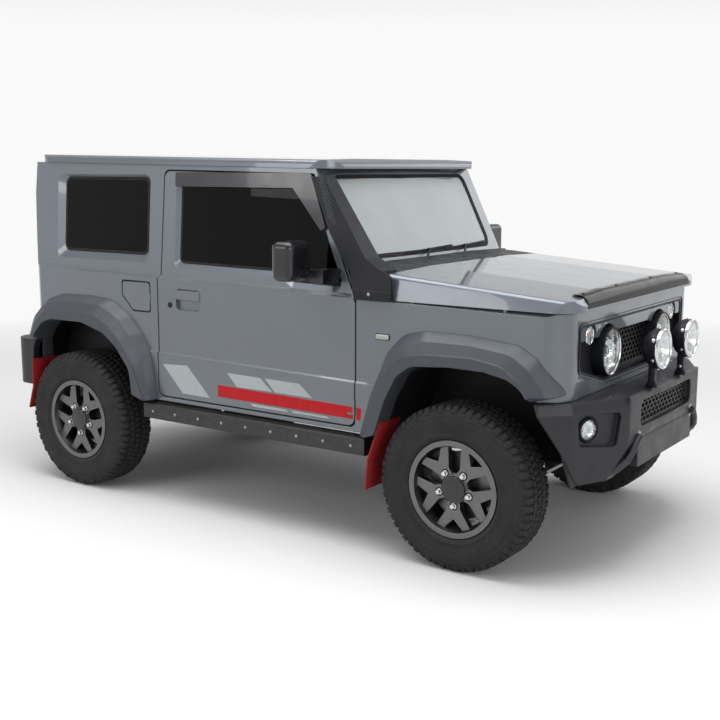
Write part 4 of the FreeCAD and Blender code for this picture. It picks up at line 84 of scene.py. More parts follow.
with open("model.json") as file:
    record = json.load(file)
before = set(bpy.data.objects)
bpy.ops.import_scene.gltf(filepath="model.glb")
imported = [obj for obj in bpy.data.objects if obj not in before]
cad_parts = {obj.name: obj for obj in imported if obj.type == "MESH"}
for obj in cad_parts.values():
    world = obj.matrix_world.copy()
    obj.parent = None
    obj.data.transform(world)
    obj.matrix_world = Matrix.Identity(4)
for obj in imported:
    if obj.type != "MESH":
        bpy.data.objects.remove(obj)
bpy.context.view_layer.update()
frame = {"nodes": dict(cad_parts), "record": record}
nodes = frame["nodes"]


# Shader helpers
def add_node(tree, kind, **values):
    """Shader node of a kind, such as Mix, with its settings and its inputs' values."""
    node = tree.nodes.new("ShaderNode" + kind)
    for name, value in values.items():
        if hasattr(node, name):
            setattr(node, name, value)
        else:
            node.inputs[name.replace("_", " ")].default_value = value
    return node


def link(tree, source, target):
    tree.links.new(source, target)


def wire(tree, shader, **sources):
    """Feeds the shader's inputs, whose names have _ for a space."""
    for name, source in sources.items():
        link(tree, source, shader.inputs[name.replace("_", " ")])


def one_axis(tree, vector, axis):
    split = add_node(tree, "SeparateXYZ")
    link(tree, vector, split.inputs["Vector"])
    return split.outputs[axis]


def fill(tree, socket, value):
    """A socket takes a link, a number or a colour."""
    if isinstance(value, bpy.types.NodeSocket):
        tree.links.new(value, socket)
    elif isinstance(value, tuple) and len(value) == 3 and len(socket.default_value) == 4:
        socket.default_value = (*value, 1.0)
    else:
        socket.default_value = value


def place(tree):
    """Object coordinates, in metres, in the frame of the part."""
    return add_node(tree, "TexCoord").outputs["Object"]


def noise(tree, scale, detail, rough=0.5):
    node = add_node(tree, "TexNoise", Detail=detail, Roughness=rough)
    fill(tree, node.inputs["Scale"], scale)
    link(tree, place(tree), node.inputs["Vector"])
    return node.outputs["Fac"]


def math_node(tree, operation, first, second=0.0):
    node = add_node(tree, "Math", operation=operation)
    fill(tree, node.inputs[0], first)
    fill(tree, node.inputs[1], second)
    return node.outputs[0]


def spread(tree, value, from_low, from_high, to_low, to_high):
    node = add_node(tree, "MapRange")
    for name, number in (("Value", value), ("From Min", from_low), ("From Max", from_high),
                         ("To Min", to_low), ("To Max", to_high)):
        fill(tree, node.inputs[name], number)
    return node.outputs["Result"]


def mix_colour(tree, share, first, second):
    node = add_node(tree, "Mix", data_type="RGBA")
    fill(tree, node.inputs[0], share)
    fill(tree, node.inputs[6], first)
    fill(tree, node.inputs[7], second)
    return node.outputs[2]


def bump(tree, height, strength, distance, normal=None):
    node = add_node(tree, "Bump", Strength=strength, Distance=distance)
    link(tree, height, node.inputs["Height"])
    if normal is not None:
        link(tree, normal, node.inputs["Normal"])
    return node.outputs["Normal"]


# Shared effects
def new_group(name, inputs, outputs):
    group = bpy.data.node_groups.new(name, "ShaderNodeTree")
    for label, value in inputs:
        socket = group.interface.new_socket(label, in_out="INPUT", socket_type="NodeSocketFloat")
        socket.default_value = value
    for label in outputs:
        kind = "NodeSocketVector" if label == "Normal" else "NodeSocketFloat"
        group.interface.new_socket(label, in_out="OUTPUT", socket_type=kind)
    start = group.nodes.new("NodeGroupInput")
    end = group.nodes.new("NodeGroupOutput")
    return group, start, end


def dust_group():
    """Dust that thins out with height and comes in patches."""
    inputs = [("Patch Scale", 20.0), ("Low", 0.3), ("High", 1.0), ("Amount", 0.5)]
    group, start, end = new_group("dust_film", inputs, ["Mask"])
    low, high = start.outputs["Low"], start.outputs["High"]
    height = spread(group, one_axis(group, place(group), "Z"), low, high, 1.0, 0.0)
    patches = spread(group, noise(group, start.outputs["Patch Scale"], 6.0, 0.6), 0.35, 0.7, 0.0, 1.0)
    film = math_node(group, "MULTIPLY", height, patches)
    link(group, math_node(group, "MULTIPLY", film, start.outputs["Amount"]), end.inputs["Mask"])
    return group


def grain_group():
    """Moulded grain: cells with a finer roughness on them."""
    group, start, end = new_group("moulded_grain", [("Cell Scale", 900.0), ("Fine Scale", 2200.0)],
                                  ["Height"])
    cells = add_node(group, "TexVoronoi")
    link(group, place(group), cells.inputs["Vector"])
    link(group, start.outputs["Cell Scale"], cells.inputs["Scale"])
    fine = noise(group, start.outputs["Fine Scale"], 2.0)
    height = math_node(group, "ADD", cells.outputs["Distance"], math_node(group, "MULTIPLY", fine, 0.4))
    link(group, height, end.inputs["Height"])
    return group


def tone_group():
    """Slow change of a value over the surface."""
    group, start, end = new_group("tone_patches", [("Scale", 5.0), ("Low", 0.4), ("High", 0.6)], ["Value"])
    low, high = start.outputs["Low"], start.outputs["High"]
    value = spread(group, noise(group, start.outputs["Scale"], 4.0), 0.3, 0.7, low, high)
    link(group, value, end.inputs["Value"])
    return group


def edge_group():
    """Rounds the edges of the solid in the light, and marks them for wear and for painted edge highlights."""
    group, start, end = new_group("rounded_edges", [("Radius", 0.003)], ["Normal", "Edge"])
    rounded = add_node(group, "Bevel", samples=4)
    link(group, start.outputs["Radius"], rounded.inputs["Radius"])
    true = add_node(group, "NewGeometry")
    dot = add_node(group, "VectorMath", operation="DOT_PRODUCT")
    link(group, rounded.outputs["Normal"], dot.inputs[0])
    link(group, true.outputs["Normal"], dot.inputs[1])
    link(group, spread(group, dot.outputs["Value"], 0.99, 0.85, 0.0, 1.0), end.inputs["Edge"])
    link(group, rounded.outputs["Normal"], end.inputs["Normal"])
    return group


def weave_group():
    """Plain weave of two crossing threads."""
    group, start, end = new_group("plain_weave", [("Thread Scale", 300.0)], ["Height"])
    threads = []
    for direction in ("X", "Z"):
        wave = add_node(group, "TexWave", Distortion=0.6, bands_direction=direction)
        link(group, place(group), wave.inputs["Vector"])
        link(group, start.outputs["Thread Scale"], wave.inputs["Scale"])
        threads.append(wave.outputs["Fac"])
    link(group, math_node(group, "MAXIMUM", *threads), end.inputs["Height"])
    return group


EFFECTS = {
    "dust": dust_group(),
    "grain": grain_group(),
    "tone": tone_group(),
    "edge": edge_group(),
    "weave": weave_group(),
}


def effect(tree, name, **values):
    node = tree.nodes.new("ShaderNodeGroup")
    node.node_tree = EFFECTS[name]
    for label, value in values.items():
        node.inputs[label.replace("_", " ")].default_value = value
    return node


def tone(tree, scale, low, high):
    return effect(tree, "tone", Scale=scale, Low=low, High=high).outputs["Value"]


def dusted(tree, under, dust, scale, low, high, amount):
    """Colour with patches of dust over it, from one height to another."""
    film = effect(tree, "dust", Patch_Scale=scale, Low=low, High=high, Amount=amount)
    return mix_colour(tree, film.outputs["Mask"], under, dust)


# Materials
def new_material(name, colour, roughness, metallic=0.0, coat=0.0, specular=0.5):
    material = bpy.data.materials.new(name)
    material.use_nodes = True
    tree = material.node_tree
    shader = tree.nodes["Principled BSDF"]
    shader.inputs["Base Color"].default_value = (*colour, 1.0)
    shader.inputs["Roughness"].default_value = roughness
    shader.inputs["Metallic"].default_value = metallic
    shader.inputs["Coat Weight"].default_value = coat
    shader.inputs["Coat Roughness"].default_value = 0.03
    shader.inputs["Specular IOR Level"].default_value = specular
    return material, tree, shader


def paint_material():
    """Grey metallic paint under clear coat, with flakes, a faint orange peel and dust low down."""
    material, tree, shader = new_material("paint_grey", (0.148, 0.166, 0.192), 0.34, 0.45, 1.0)
    flakes = mix_colour(tree, noise(tree, 2600.0, 2.0), (0.12, 0.137, 0.161), (0.177, 0.2, 0.231))
    shaded = mix_colour(tree, tone(tree, 2.2, 0.0, 0.22), flakes, (0.108, 0.124, 0.147))
    edge = effect(tree, "edge", Radius=0.005)
    wire(tree, shader, Base_Color=dusted(tree, shaded, (0.18, 0.165, 0.145), 26.0, 0.5, 0.95, 0.18),
         Roughness=tone(tree, 9.0, 0.3, 0.4),
         Normal=bump(tree, noise(tree, 420.0, 2.0), 0.03, 0.0004, edge.outputs["Normal"]))
    return material


def moulded(name, colour, roughness, cell, strength, dust, radius=0.003, coat=0.0, low=0.3, high=1.25,
            worn=0.25, specular=0.5):
    """Moulded plastic: grain, dust in it, and lighter edges that are partly wear and partly a painted
    highlight.
    """
    material, tree, shader = new_material(name, colour, roughness, coat=coat, specular=specular)
    edge = effect(tree, "edge", Radius=radius)
    # Lighter edges: partly wear, partly a painted highlight where the rounded edges catch the light.
    rubbed_and_lit_edges = math_node(tree, "MULTIPLY", edge.outputs["Edge"], worn)
    pale = tuple(min(1.0, part * 2.2 + 0.02) for part in colour)
    grain = effect(tree, "grain", Cell_Scale=cell, Fine_Scale=cell * 2.6)
    wire(tree, shader,
         Base_Color=dusted(tree, mix_colour(tree, rubbed_and_lit_edges, colour, pale), DUST_COLOUR, 34.0, low, high, dust),
         Roughness=tone(tree, 11.0, max(0.04, roughness - 0.07), min(1.0, roughness + 0.08)),
         Normal=bump(tree, grain.outputs["Height"], strength, 0.0005, edge.outputs["Normal"]))
    return material


def glass(name, colour, bend=1.5, clearness=1.0):
    """Glass with a faint smear and slow waves."""
    material, tree, shader = new_material(name, colour, 0.0)
    shader.inputs["Transmission Weight"].default_value = clearness
    shader.inputs["IOR"].default_value = bend
    wire(tree, shader, Base_Color=mix_colour(tree, tone(tree, 4.0, 0.92, 1.0), (0.0, 0.0, 0.0), colour),
         Normal=bump(tree, noise(tree, 3.0, 1.0), 0.02, 0.01))
    return material


def metal(name, dark, light, roughness, scale):
    """Bare or plated metal, whose tone and roughness drift."""
    material, tree, shader = new_material(name, dark, roughness, 1.0)
    edge = effect(tree, "edge", Radius=0.001)
    wire(tree, shader, Base_Color=mix_colour(tree, tone(tree, scale, 0.0, 1.0), dark, light),
         Roughness=tone(tree, scale * 3, roughness * 0.8, roughness * 1.25),
         Normal=bump(tree, noise(tree, scale * 14, 2.0), 0.06, 0.0003, edge.outputs["Normal"]))
    return material


def reflector_material():
    """Bright lamp reflector, moulded in facets."""
    material, tree, shader = new_material("lamp_reflector", (0.86, 0.87, 0.88), 0.08, 1.0)
    facets = add_node(tree, "TexVoronoi", Scale=42.0, feature="F1")
    link(tree, place(tree), facets.inputs["Vector"])
    depth = facets.outputs["Distance"]
    wire(tree, shader, Base_Color=mix_colour(tree, depth, (0.9, 0.91, 0.92), (0.45, 0.46, 0.48)),
         Normal=bump(tree, depth, 0.4, 0.006))
    return material


def rim_material(name, axis):
    """Dark painted wheel with satin machined faces that look outboard, and a painted highlight along its
    edges.
    """
    material, tree, shader = new_material(name, (0.04, 0.04, 0.043), 0.34, 0.8)
    facing = one_axis(tree, add_node(tree, "TexCoord").outputs["Normal"], axis)
    mask = spread(tree, math_node(tree, "ABSOLUTE", facing), 0.955, 0.98, 0.0, 1.0)
    dark = mix_colour(tree, tone(tree, 30.0, 0.0, 1.0), (0.03, 0.03, 0.033), (0.048, 0.048, 0.052))
    satin = mix_colour(tree, noise(tree, 900.0, 2.0), (0.13, 0.13, 0.134), (0.19, 0.19, 0.195))
    edge = effect(tree, "edge", Radius=0.0022)
    # Painted highlight: a pale grey is mixed in along the rim's edges.
    bright = mix_colour(tree, edge.outputs["Edge"], mix_colour(tree, mask, dark, satin), (0.36, 0.36, 0.37))
    wire(tree, shader, Base_Color=dusted(tree, bright, (0.12, 0.11, 0.095), 40.0, 0.0, 1.4, 0.35),
         Normal=bump(tree, noise(tree, 1500.0, 2.0), 0.04, 0.0003, edge.outputs["Normal"]))
    return material


def rubber(name, colour, dust, amount, scale, low=0.0, high=2.0):
    """Rubber with a fine skin and dust on it."""
    material, tree, shader = new_material(name, colour, 0.78, specular=0.35)
    skin = effect(tree, "grain", Cell_Scale=520.0, Fine_Scale=1500.0)
    edge = effect(tree, "edge", Radius=0.0015)
    wire(tree, shader, Base_Color=dusted(tree, colour, dust, scale, low, high, amount),
         Roughness=tone(tree, 14.0, 0.68, 0.86),
         Normal=bump(tree, skin.outputs["Height"], 0.25, 0.0006, edge.outputs["Normal"]))
    return material


def cloth(name, colour, light):
    """Woven cloth, lighter where a thread comes up."""
    material, tree, shader = new_material(name, colour, 0.9, specular=0.2)
    shader.inputs["Sheen Weight"].default_value = 0.25
    height = effect(tree, "weave", Thread_Scale=150.0).outputs["Height"]
    wire(tree, shader, Base_Color=mix_colour(tree, height, colour, light),
         Normal=bump(tree, height, 0.35, 0.0008))
    return material


def lens_skin(name, colour, roughness):
    """Coloured lamp lens under a coat."""
    return moulded(name, colour, roughness, 150.0, 0.05, 0.05, 0.001, 0.5)


def film_skin(name, colour, roughness, dust, **looks):
    """Thin coloured film, dusty along its foot."""
    return moulded(name, colour, roughness, 700.0, 0.03, dust, 0.0005, low=0.5, high=0.8, **looks)


def make_materials():
    return {
        "body_paint": paint_material(),
        "flare_plastic": moulded("flare_plastic_grain", (0.062, 0.068, 0.083), 0.4, 1100.0, 0.12, 0.12,
                                 0.006),
        "bumper": moulded("bumper_plastic_grain", (0.0175, 0.0185, 0.0235), 0.4, 1100.0, 0.1, 0.08, 0.011,
                          worn=0.4, specular=0.42),
        "black_plastic": moulded("black_plastic_grain", (0.01, 0.011, 0.0145), 0.42, 900.0, 0.16, 0.06,
                                 specular=0.27),
        "gloss_black": moulded("gloss_black_skin", (0.014, 0.013, 0.008), 0.1, 300.0, 0.02, 0.04,
                               coat=0.5, worn=0.1),
        "frame_paint": moulded("frame_black", (0.014, 0.0145, 0.017), 0.45, 500.0, 0.1, 0.2),
        "axle_iron": moulded("cast_black", (0.022, 0.021, 0.02), 0.62, 220.0, 0.35, 0.6),
        "tyre_rubber": rubber("tyre_rubber_skin", (0.02, 0.02, 0.0215), (0.075, 0.071, 0.066), 0.3, 150.0),
        "flap_rubber": rubber("flap_red", (0.44, 0.016, 0.02), (0.16, 0.08, 0.065), 0.35, 25.0, 0.2, 0.8),
        "seal": rubber("seal_rubber", (0.012, 0.012, 0.013), (0.06, 0.057, 0.05), 0.2, 40.0),
        "rim_alloy": rim_material("rim_faced", "Y"),
        "rim_spare": rim_material("rim_faced_spare", "X"),
        "pipe_steel": metal("dull_steel", (0.28, 0.27, 0.26), (0.4, 0.39, 0.37), 0.42, 25.0),
        "nut": metal("bright_nut", (0.55, 0.55, 0.56), (0.72, 0.72, 0.73), 0.22, 60.0),
        "chrome": metal("lamp_bezel_bright", (0.62, 0.62, 0.63), (0.78, 0.78, 0.79), 0.12, 40.0),
        "mirror": metal("mirror_face", (0.82, 0.83, 0.84), (0.86, 0.87, 0.88), 0.03, 3.0),
        "reflector": reflector_material(),
        "tinted_glass": glass("dark_glass", (0.016, 0.019, 0.02), 1.22),
        "clear_glass": glass("clear_glass_skin", (0.64, 0.7, 0.71), clearness=0.5),
        "lamp_glass": glass("lamp_lens", (0.95, 0.97, 0.97)),
        "shade": moulded("smoked_shield", (0.022, 0.021, 0.028), 0.14, 300.0, 0.01, 0.05, coat=0.4),
        "shell": moulded("mirror_shell_black", (0.009, 0.009, 0.012), 0.24, 700.0, 0.03, 0.04,
                         coat=0.25, worn=0.1),
        "guard": moulded("bonnet_guard_skin", (0.008, 0.0065, 0.006), 0.2, 300.0, 0.01, 0.03, specular=0.16),
        "amber": lens_skin("amber_lens_skin", (0.7, 0.2, 0.02), 0.14),
        "red_lens": lens_skin("red_lens_skin", (0.42, 0.01, 0.012), 0.12),
        "white_lens": lens_skin("white_lens_skin", (0.5, 0.51, 0.5), 0.12),
        "stripe": film_skin("stripe_silver", (0.5, 0.55, 0.57), 0.32, 0.08),
        "stripe_red": film_skin("stripe_red_film", (0.6, 0.014, 0.02), 0.3, 0.04, worn=0.05, specular=0.2),
        "seat_fabric": cloth("seat_cloth", (0.02, 0.02, 0.022), (0.055, 0.055, 0.06)),
    }


NODE_MATERIALS = {
    "front_bumper": "bumper",
    "rear_bumper": "bumper",
    "spare_rim": "rim_spare",
    "rain_shield_left": "shade",
    "rain_shield_right": "shade",
    "door_mirror_left": "shell",
    "door_mirror_right": "shell",
}


def dress_nodes():
    """Gives every CAD node the material of its slot, or its own."""
    for part in frame["record"]["subparts"]:
        name = NODE_MATERIALS.get(part["node"], part["material_slot"])
        node = nodes[part["node"]]
        node.data.materials.clear()
        node.data.materials.append(materials[name])


# Modelling helpers
def round_edges(form, edges, offset, segments):
    bmesh.ops.bevel(form, geom=edges, offset=offset, segments=segments, profile=0.5, affect="EDGES",
                    material=-1, clamp_overlap=True)


def raise_faces(form, faces, shift):
    """Extrudes faces by a shift and turns all normals outwards."""
    grown = bmesh.ops.extrude_face_region(form, geom=faces)
    top = [item for item in grown["geom"] if isinstance(item, bmesh.types.BMVert)]
    bmesh.ops.translate(form, vec=shift, verts=top)
    bmesh.ops.recalc_face_normals(form, faces=form.faces)


def flat_face(form, outline):
    return form.faces.new([form.verts.new((x, y, 0.0)) for x, y in outline])


def spun(profile, steps):
    """Form of revolution about Z from (radius, height) points."""
    form = bmesh.new()
    verts = [form.verts.new((radius / MM, 0.0, height / MM)) for radius, height in profile]
    edges = [form.edges.new(pair) for pair in zip(verts, verts[1:])]
    bmesh.ops.spin(form, geom=verts + edges, cent=(0, 0, 0), axis=(0, 0, 1), angle=math.tau, steps=steps,
                   use_merge=True)
    bmesh.ops.remove_doubles(form, verts=form.verts, dist=0.00002)
    bmesh.ops.recalc_face_normals(form, faces=form.faces)
    return form


def slab(outline, thickness, rounding, segments=2):
    """Plate on XY with the given outline, from 0 up to its thickness, with rounded edges."""
    form = bmesh.new()
    raise_faces(form, [flat_face(form, [(x / MM, y / MM) for x, y in outline])], (0, 0, thickness / MM))
    round_edges(form, form.edges[:], rounding / MM, segments)
    return form


def block(size, rounding, segments=2):
    """Box about the origin with rounded edges."""
    form = bmesh.new()
    bmesh.ops.create_cube(form, size=1.0)
    bmesh.ops.scale(form, vec=[length / MM for length in size], verts=form.verts)
    round_edges(form, form.edges[:], rounding / MM, segments)
    return form


def nut_form(radius, height):
    """Six-sided nut with a turned collar, standing on Z 0."""
    form = bmesh.new()
    bmesh.ops.create_cone(form, cap_ends=True, segments=6, radius1=radius / MM, radius2=radius / MM,
                          depth=height / MM)
    round_edges(form, form.edges[:], radius * 0.12 / MM, 2)
    bmesh.ops.translate(form, vec=(0, 0, height / 2 / MM), verts=form.verts)
    collar = spun([(0, 0), (radius * 1.3, 0), (radius * 1.3, height * 0.14), (radius * 1.1, height * 0.24),
                   (0, height * 0.24)], 20)
    merge_in(form, collar, Matrix())
    return form


def merge_in(target, form, matrix, material=0):
    """Adds a copy of a form to another one."""
    mesh = bpy.data.meshes.new("form")
    form.to_mesh(mesh)
    mesh.transform(matrix)
    if matrix.determinant() < 0:
        mesh.flip_normals()
    start = len(target.faces)
    target.from_mesh(mesh)
    target.faces.ensure_lookup_table()
    for face in target.faces[start:]:
        face.material_index = material
    bpy.data.meshes.remove(mesh)


def turned_to(centre, axis):
    """Turns Z to an axis and moves the origin to a place."""
    return Matrix.Translation(Vector(centre)) @ Vector(axis).to_track_quat("Z", "Y").to_matrix().to_4x4()


def to_side(place, side):
    """Place or direction on one side of the car: -1 is right, 1 is left."""
    return Vector((place[0], side * place[1], place[2]))


def about(axis, degrees):
    return Matrix.Rotation(math.radians(degrees), 4, axis)


def at(x, y, z):
    return Matrix.Translation((x, y, z))


def piece(name, body, form, finishes, angle=35.0):
    """Finished piece that rides on a body, with sharp edges past an angle in degrees."""
    mesh = bpy.data.meshes.new(name)
    form.to_mesh(mesh)
    for finish in finishes:
        mesh.materials.append(materials[finish])
    mesh.polygons.foreach_set("use_smooth", [True] * len(mesh.polygons))
    mesh.set_sharp_from_angle(angle=math.radians(angle))
    made = bpy.data.objects.new(name, mesh)
    bpy.context.scene.collection.objects.link(made)
    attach(made, body)
    return made


def surface_of(*names):
    """Rays can be cast on the solids of these nodes."""
    verts = []
    faces = []
    for name in names:
        mesh = nodes[name].data
        start = len(verts)
        verts.extend(vert.co.copy() for vert in mesh.vertices)
        faces.extend([index + start for index in face.vertices] for face in mesh.polygons)
    return BVHTree.FromPolygons(verts, faces)


def hit_on(surface, origin, direction):
    """Place where a ray meets a surface, or None."""
    return surface.ray_cast(Vector(origin), Vector(direction))[0]


# Wheels
def tyre_form():
    """Road tyre about Z: ringed carcass, two rows of shoulder lugs and three of small blocks."""
    side = [
        (192, 70), (192, 84), (205, 85), (210, 92), (216, 98.5), (222, 100), (226, 104.5), (231, 104.5),
        (234, 102.5), (250, 106.5), (268, 107.8), (284, 107.2), (287, 107.9), (291, 107.9), (294, 106.2),
        (305, 104.5), (308, 105.5), (311, 104.5), (322, 100.5), (333, 94), (340, 85), (343.2, 70),
        (343.6, 48)]
    inner = [(310, 60), (300, 85), (240, 90)]
    profile = side + [(radius, -height) for radius, height in reversed(side)]
    profile += [(radius, -height) for radius, height in reversed(inner)] + inner + [side[0]]
    form = spun(profile, 96)
    lug = slab([
        (330, 58), (351.5, 58), (351.9, 80), (348, 89.5), (334, 101.5), (322, 104), (318, 98)], 25, 1.6, 1)
    short = slab([(330, 58), (351.5, 58), (351.9, 78), (347, 87), (336, 96), (330, 97)], 25, 1.6, 1)
    for index in range(TYRE_LUGS):
        for sign in (1, -1):
            upright = Matrix(((1, 0, 0, 0), (0, 0, 1, -0.0125), (0, sign, 0, 0), (0, 0, 0, 1)))
            turn = Matrix.Rotation(math.tau * (index + 0.25 * sign) / TYRE_LUGS, 4, "Z")
            merge_in(form, lug if index % 2 else short, turn @ upright)
    small = block((11, 24, 26), 1.3, 1)
    wide = block((11, 22, 36), 1.3, 1)
    tread_rows = ((wide, 0.0, 14, 0.0), (small, 0.0375, -18, 0.5), (small, -0.0375, -18, 0.5))
    for index in range(TREAD_BLOCKS):
        for shape, height, lean, shift in tread_rows:
            turn = Matrix.Rotation(math.tau * (index + shift) / TREAD_BLOCKS, 4, "Z")
            merge_in(form, shape, turn @ at(0.3462, 0, height) @ about("X", lean))
    return form


def wheel_places():
    """Name, body and place of every wheel, with Z along its axis to the outside."""
    made = []
    for name, (x, y, sign) in WHEELS.items():
        made.append((name, "wheel_" + name, at(x, y, WHEEL_RADIUS) @ about("X", -90 * sign)))
    made.append(("spare", "tailgate_assembly", at(*SPARE_PLACE) @ about("Y", -90)))
    return made


def make_wheels():
    """Tyres with tread, and each wheel's cap, nuts and valve."""
    tyre = tyre_form()
    cap = spun([
        (0, 70), (55.6, 70), (55.6, 86.5), (53.5, 89.5), (49, 91), (45, 90.2), (41, 90.8), (20, 92.5),
        (0, 93)], 48)
    nut = nut_form(10.5, 16)
    # Dark disc under each nut: painted shade that stands for the recessed nut pocket.
    pocket_shade_disc = spun([(0, -1), (18.5, -1), (18.5, 1.2), (16.5, 1.4), (15, 0.4), (0, 0.4)], 28)
    valve = spun([(0, 0), (5, 0), (4.5, 12), (3, 14), (3, 34), (0, 35)], 14)
    for name, body, matrix in wheel_places():
        form = bmesh.new()
        merge_in(form, tyre, matrix)
        made = piece("tyre_with_tread_" + name, body, form, ["tyre_rubber"], 50.0)
        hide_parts("spare_tyre" if name == "spare" else "tyre_" + name)
        trim = bmesh.new()
        merge_in(trim, cap, matrix)
        for index in range(WHEEL_NUTS):
            seat = matrix @ about("Z", 360 / WHEEL_NUTS * index - 90) @ at(0.0735, 0, 0.0768)
            merge_in(trim, pocket_shade_disc, seat, 2)
            merge_in(trim, nut, seat, 1)
        lean = about("Z", -54) @ at(0.176, 0, 0.05) @ about("Y", -12)
        merge_in(trim, valve, matrix @ lean, 2)
        piece("wheel_trim_" + name, body, trim, ["shell", "nut", "black_plastic"])


# Front lamps
def make_headlamps():
    """Headlamps, indicators and fog lamps, each with a reflector behind a clear lens."""
    form = bmesh.new()
    shell = spun([
        (0, -20), (103, -20), (103.5, 58), (102.5, 64), (100.5, 67.5), (99, 66.5), (97.8, 60), (97.8, 45),
        (98.5, 30), (98.5, -12), (0, -12)], 64)
    ring = spun([
        (97.6, 47), (97.6, 61.5), (95.5, 64), (92, 60.5), (90.2, 52), (90.5, 45.5), (97.6, 47)], 64)
    bowl = spun([
        (90.5, 52), (87, 36), (75, 18), (55, 4), (30, -6), (20, -8), (0, -8), (0, -9.5), (30, -7.8),
        (56, 2.5), (76.5, 17), (88.5, 35.5), (92, 51.8), (90.5, 52)], 64)
    projector = spun([(0, -7), (22, -7), (24, 12), (31, 18), (31, 28), (27, 31), (0, 31)], 40)
    eye = spun([(0, 30), (26.5, 31), (24, 38), (15, 43.5), (0, 45.5)], 40)
    dome = spun([
        (0, 70), (30, 69.2), (60, 66.5), (84, 62.5), (93.5, 59.5), (93.5, 57.5), (84, 60.3), (60, 64.3),
        (30, 67), (0, 67.8)], 64)
    cup = spun([(0, 0), (40, 0), (40, 24), (37.5, 26.5), (36, 24), (33, 12), (20, 4), (0, 3)], 40)
    bulb = spun([(0, 3), (8, 4), (11, 10), (9, 17), (0, 20)], 24)
    cover = spun([
        (0, 28.5), (18, 28), (30, 26.5), (36.2, 24.2), (36.2, 22.8), (30, 25), (18, 26.5), (0, 27)], 40)
    fog_body = spun([
        (0, 0), (51.4, 0), (51.4, 23.5), (45, 29.8), (41.5, 29), (39.5, 22), (42, 6), (0, 4)], 48)
    fog_bowl = spun([
        (0, 4.5), (20, 5.5), (34, 12), (39.4, 22.5), (40.2, 21.5), (36, 10.5), (20, 4.2), (0, 3.5)], 48)
    fog_lens = spun([(0, 28.5), (20, 27.5), (39.2, 22.5), (39.2, 21), (20, 26), (0, 27)], 48)
    small = bmesh.new()
    lenses = bmesh.new()
    for side in (-1, 1):
        matrix = turned_to(to_side(LAMP_PLACE, side), FORWARD)
        for part, finish in ((shell, 0), (ring, 1), (bowl, 2), (projector, 1), (eye, 3)):
            merge_in(form, part, matrix, finish)
        merge_in(lenses, dome, matrix)
        matrix = turned_to(to_side(INDICATOR_PLACE, side), FORWARD)
        merge_in(small, cup, matrix, 1)
        merge_in(small, bulb, matrix, 2)
        merge_in(lenses, cover, matrix)
        fog = turned_to(to_side(FOG_PLACE, side), to_side(FOG_AXIS, side))
        merge_in(small, fog_body, fog)
        merge_in(small, fog_bowl, fog, 1)
        merge_in(lenses, fog_lens, fog)
    finishes = ["black_plastic", "chrome", "reflector", "lamp_glass"]
    made = piece("headlamp_bodies", "body", form, finishes)
    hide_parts("front_lamps")
    piece("small_lamp_bodies", "body", small, ["black_plastic", "reflector", "amber"])
    piece("lamp_lenses", "body", lenses, ["lamp_glass"])


def make_spot_lamps():
    """Two round driving lamps on feet that stand on the bumper."""
    form = bmesh.new()
    lenses = bmesh.new()
    housing = spun([
        (0, 0), (46, 0), (50, 4), (62, 16), (76, 32), (83, 42), (84.5, 50), (84.5, 64), (85.5, 66),
        (85.5, 71), (78, 71), (60, 30), (0, 20)], 64)
    bezel = spun([
        (77.2, 70.5), (85.8, 70.5), (85.8, 79), (83, 83.2), (79, 83.8), (76.5, 81), (75.5, 75),
        (77.2, 70.5)], 64)
    bowl = spun([
        (0, 26), (20, 28), (50, 44), (68, 62), (76.5, 76.5), (77.2, 75.5), (69.5, 61), (51, 42.5),
        (20, 26.5), (0, 24.5)], 64)
    shield = spun([(0, 28), (12, 28), (13, 46), (24, 50), (24, 56), (20, 60), (0, 62)], 36)
    lens = spun([
        (0, 83.2), (30, 82.6), (55, 80.6), (76.2, 76.8), (76.2, 74.8), (55, 78.6), (30, 80.6), (0, 81.2)], 64)
    fin = block((4, 20, 30), 1, 1)
    bolt = nut_form(6, 6)
    foot = slab([
        (-24, 0), (24, 0), (24, 10), (14, 30), (14, 104), (0, 116), (-14, 104), (-14, 30), (-24, 10)],
        24, 1.5)
    for side in (-1, 1):
        matrix = turned_to(to_side(SPOT_PLACE, side), FORWARD)
        for part, finish in ((housing, 0), (bezel, 1), (bowl, 2), (shield, 1)):
            merge_in(form, part, matrix, finish)
        merge_in(lenses, lens, matrix)
        for index in range(SPOT_FINS):
            turn = about("Z", 360 / SPOT_FINS * index)
            merge_in(form, fin, matrix @ turn @ at(0.0705, 0, 0.027) @ about("Y", 37))
        for index in range(SPOT_BOLTS):
            turn = about("Z", 360 / SPOT_BOLTS * index + 30)
            merge_in(form, bolt, matrix @ turn @ at(0.0835, 0, 0.057) @ about("Y", 90), 1)
        x, y = SPOT_PLACE[0] + 0.0336, SPOT_PLACE[1]
        merge_in(form, foot, at(x, side * y + 0.012, 0.75) @ about("X", 90))
        merge_in(form, bolt, at(x, side * (y - 0.012), 0.79) @ about("X", 90 * side), 1)
    made = piece("spot_lamp_bodies", "body", form, ["black_plastic", "chrome", "reflector"])
    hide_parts("spot_lamps")
    piece("spot_lamp_lenses", "body", lenses, ["lamp_glass"])


def make_rear_lamps():
    """Lamp clusters in the rear bumper: red, amber and clear fields in one black frame."""
    form = bmesh.new()
    surround = block((6, 229.4, 89.4), 2)
    for side in (-1, 1):
        merge_in(form, surround, at(-1.6032, side * REAR_LAMP_Y, REAR_LAMP_Z))
        for finish, wide, shift in ((1, 118, -0.05), (2, 50, 0.0375), (3, 38, 0.085)):
            y = side * (REAR_LAMP_Y - shift)
            merge_in(form, block((6, wide, 78), 2.5), at(-1.6064, y, REAR_LAMP_Z), finish)
            rib = block((1.6, wide - 12, 2.2), 0.6, 1)
            for index in range(LAMP_RIBS):
                merge_in(form, rib, at(-1.6089, y, 0.623 + index * 0.009), finish)
    finishes = ["black_plastic", "red_lens", "amber", "white_lens"]
    made = piece("rear_lamp_clusters", "body", form, finishes)
    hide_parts("rear_lamps")


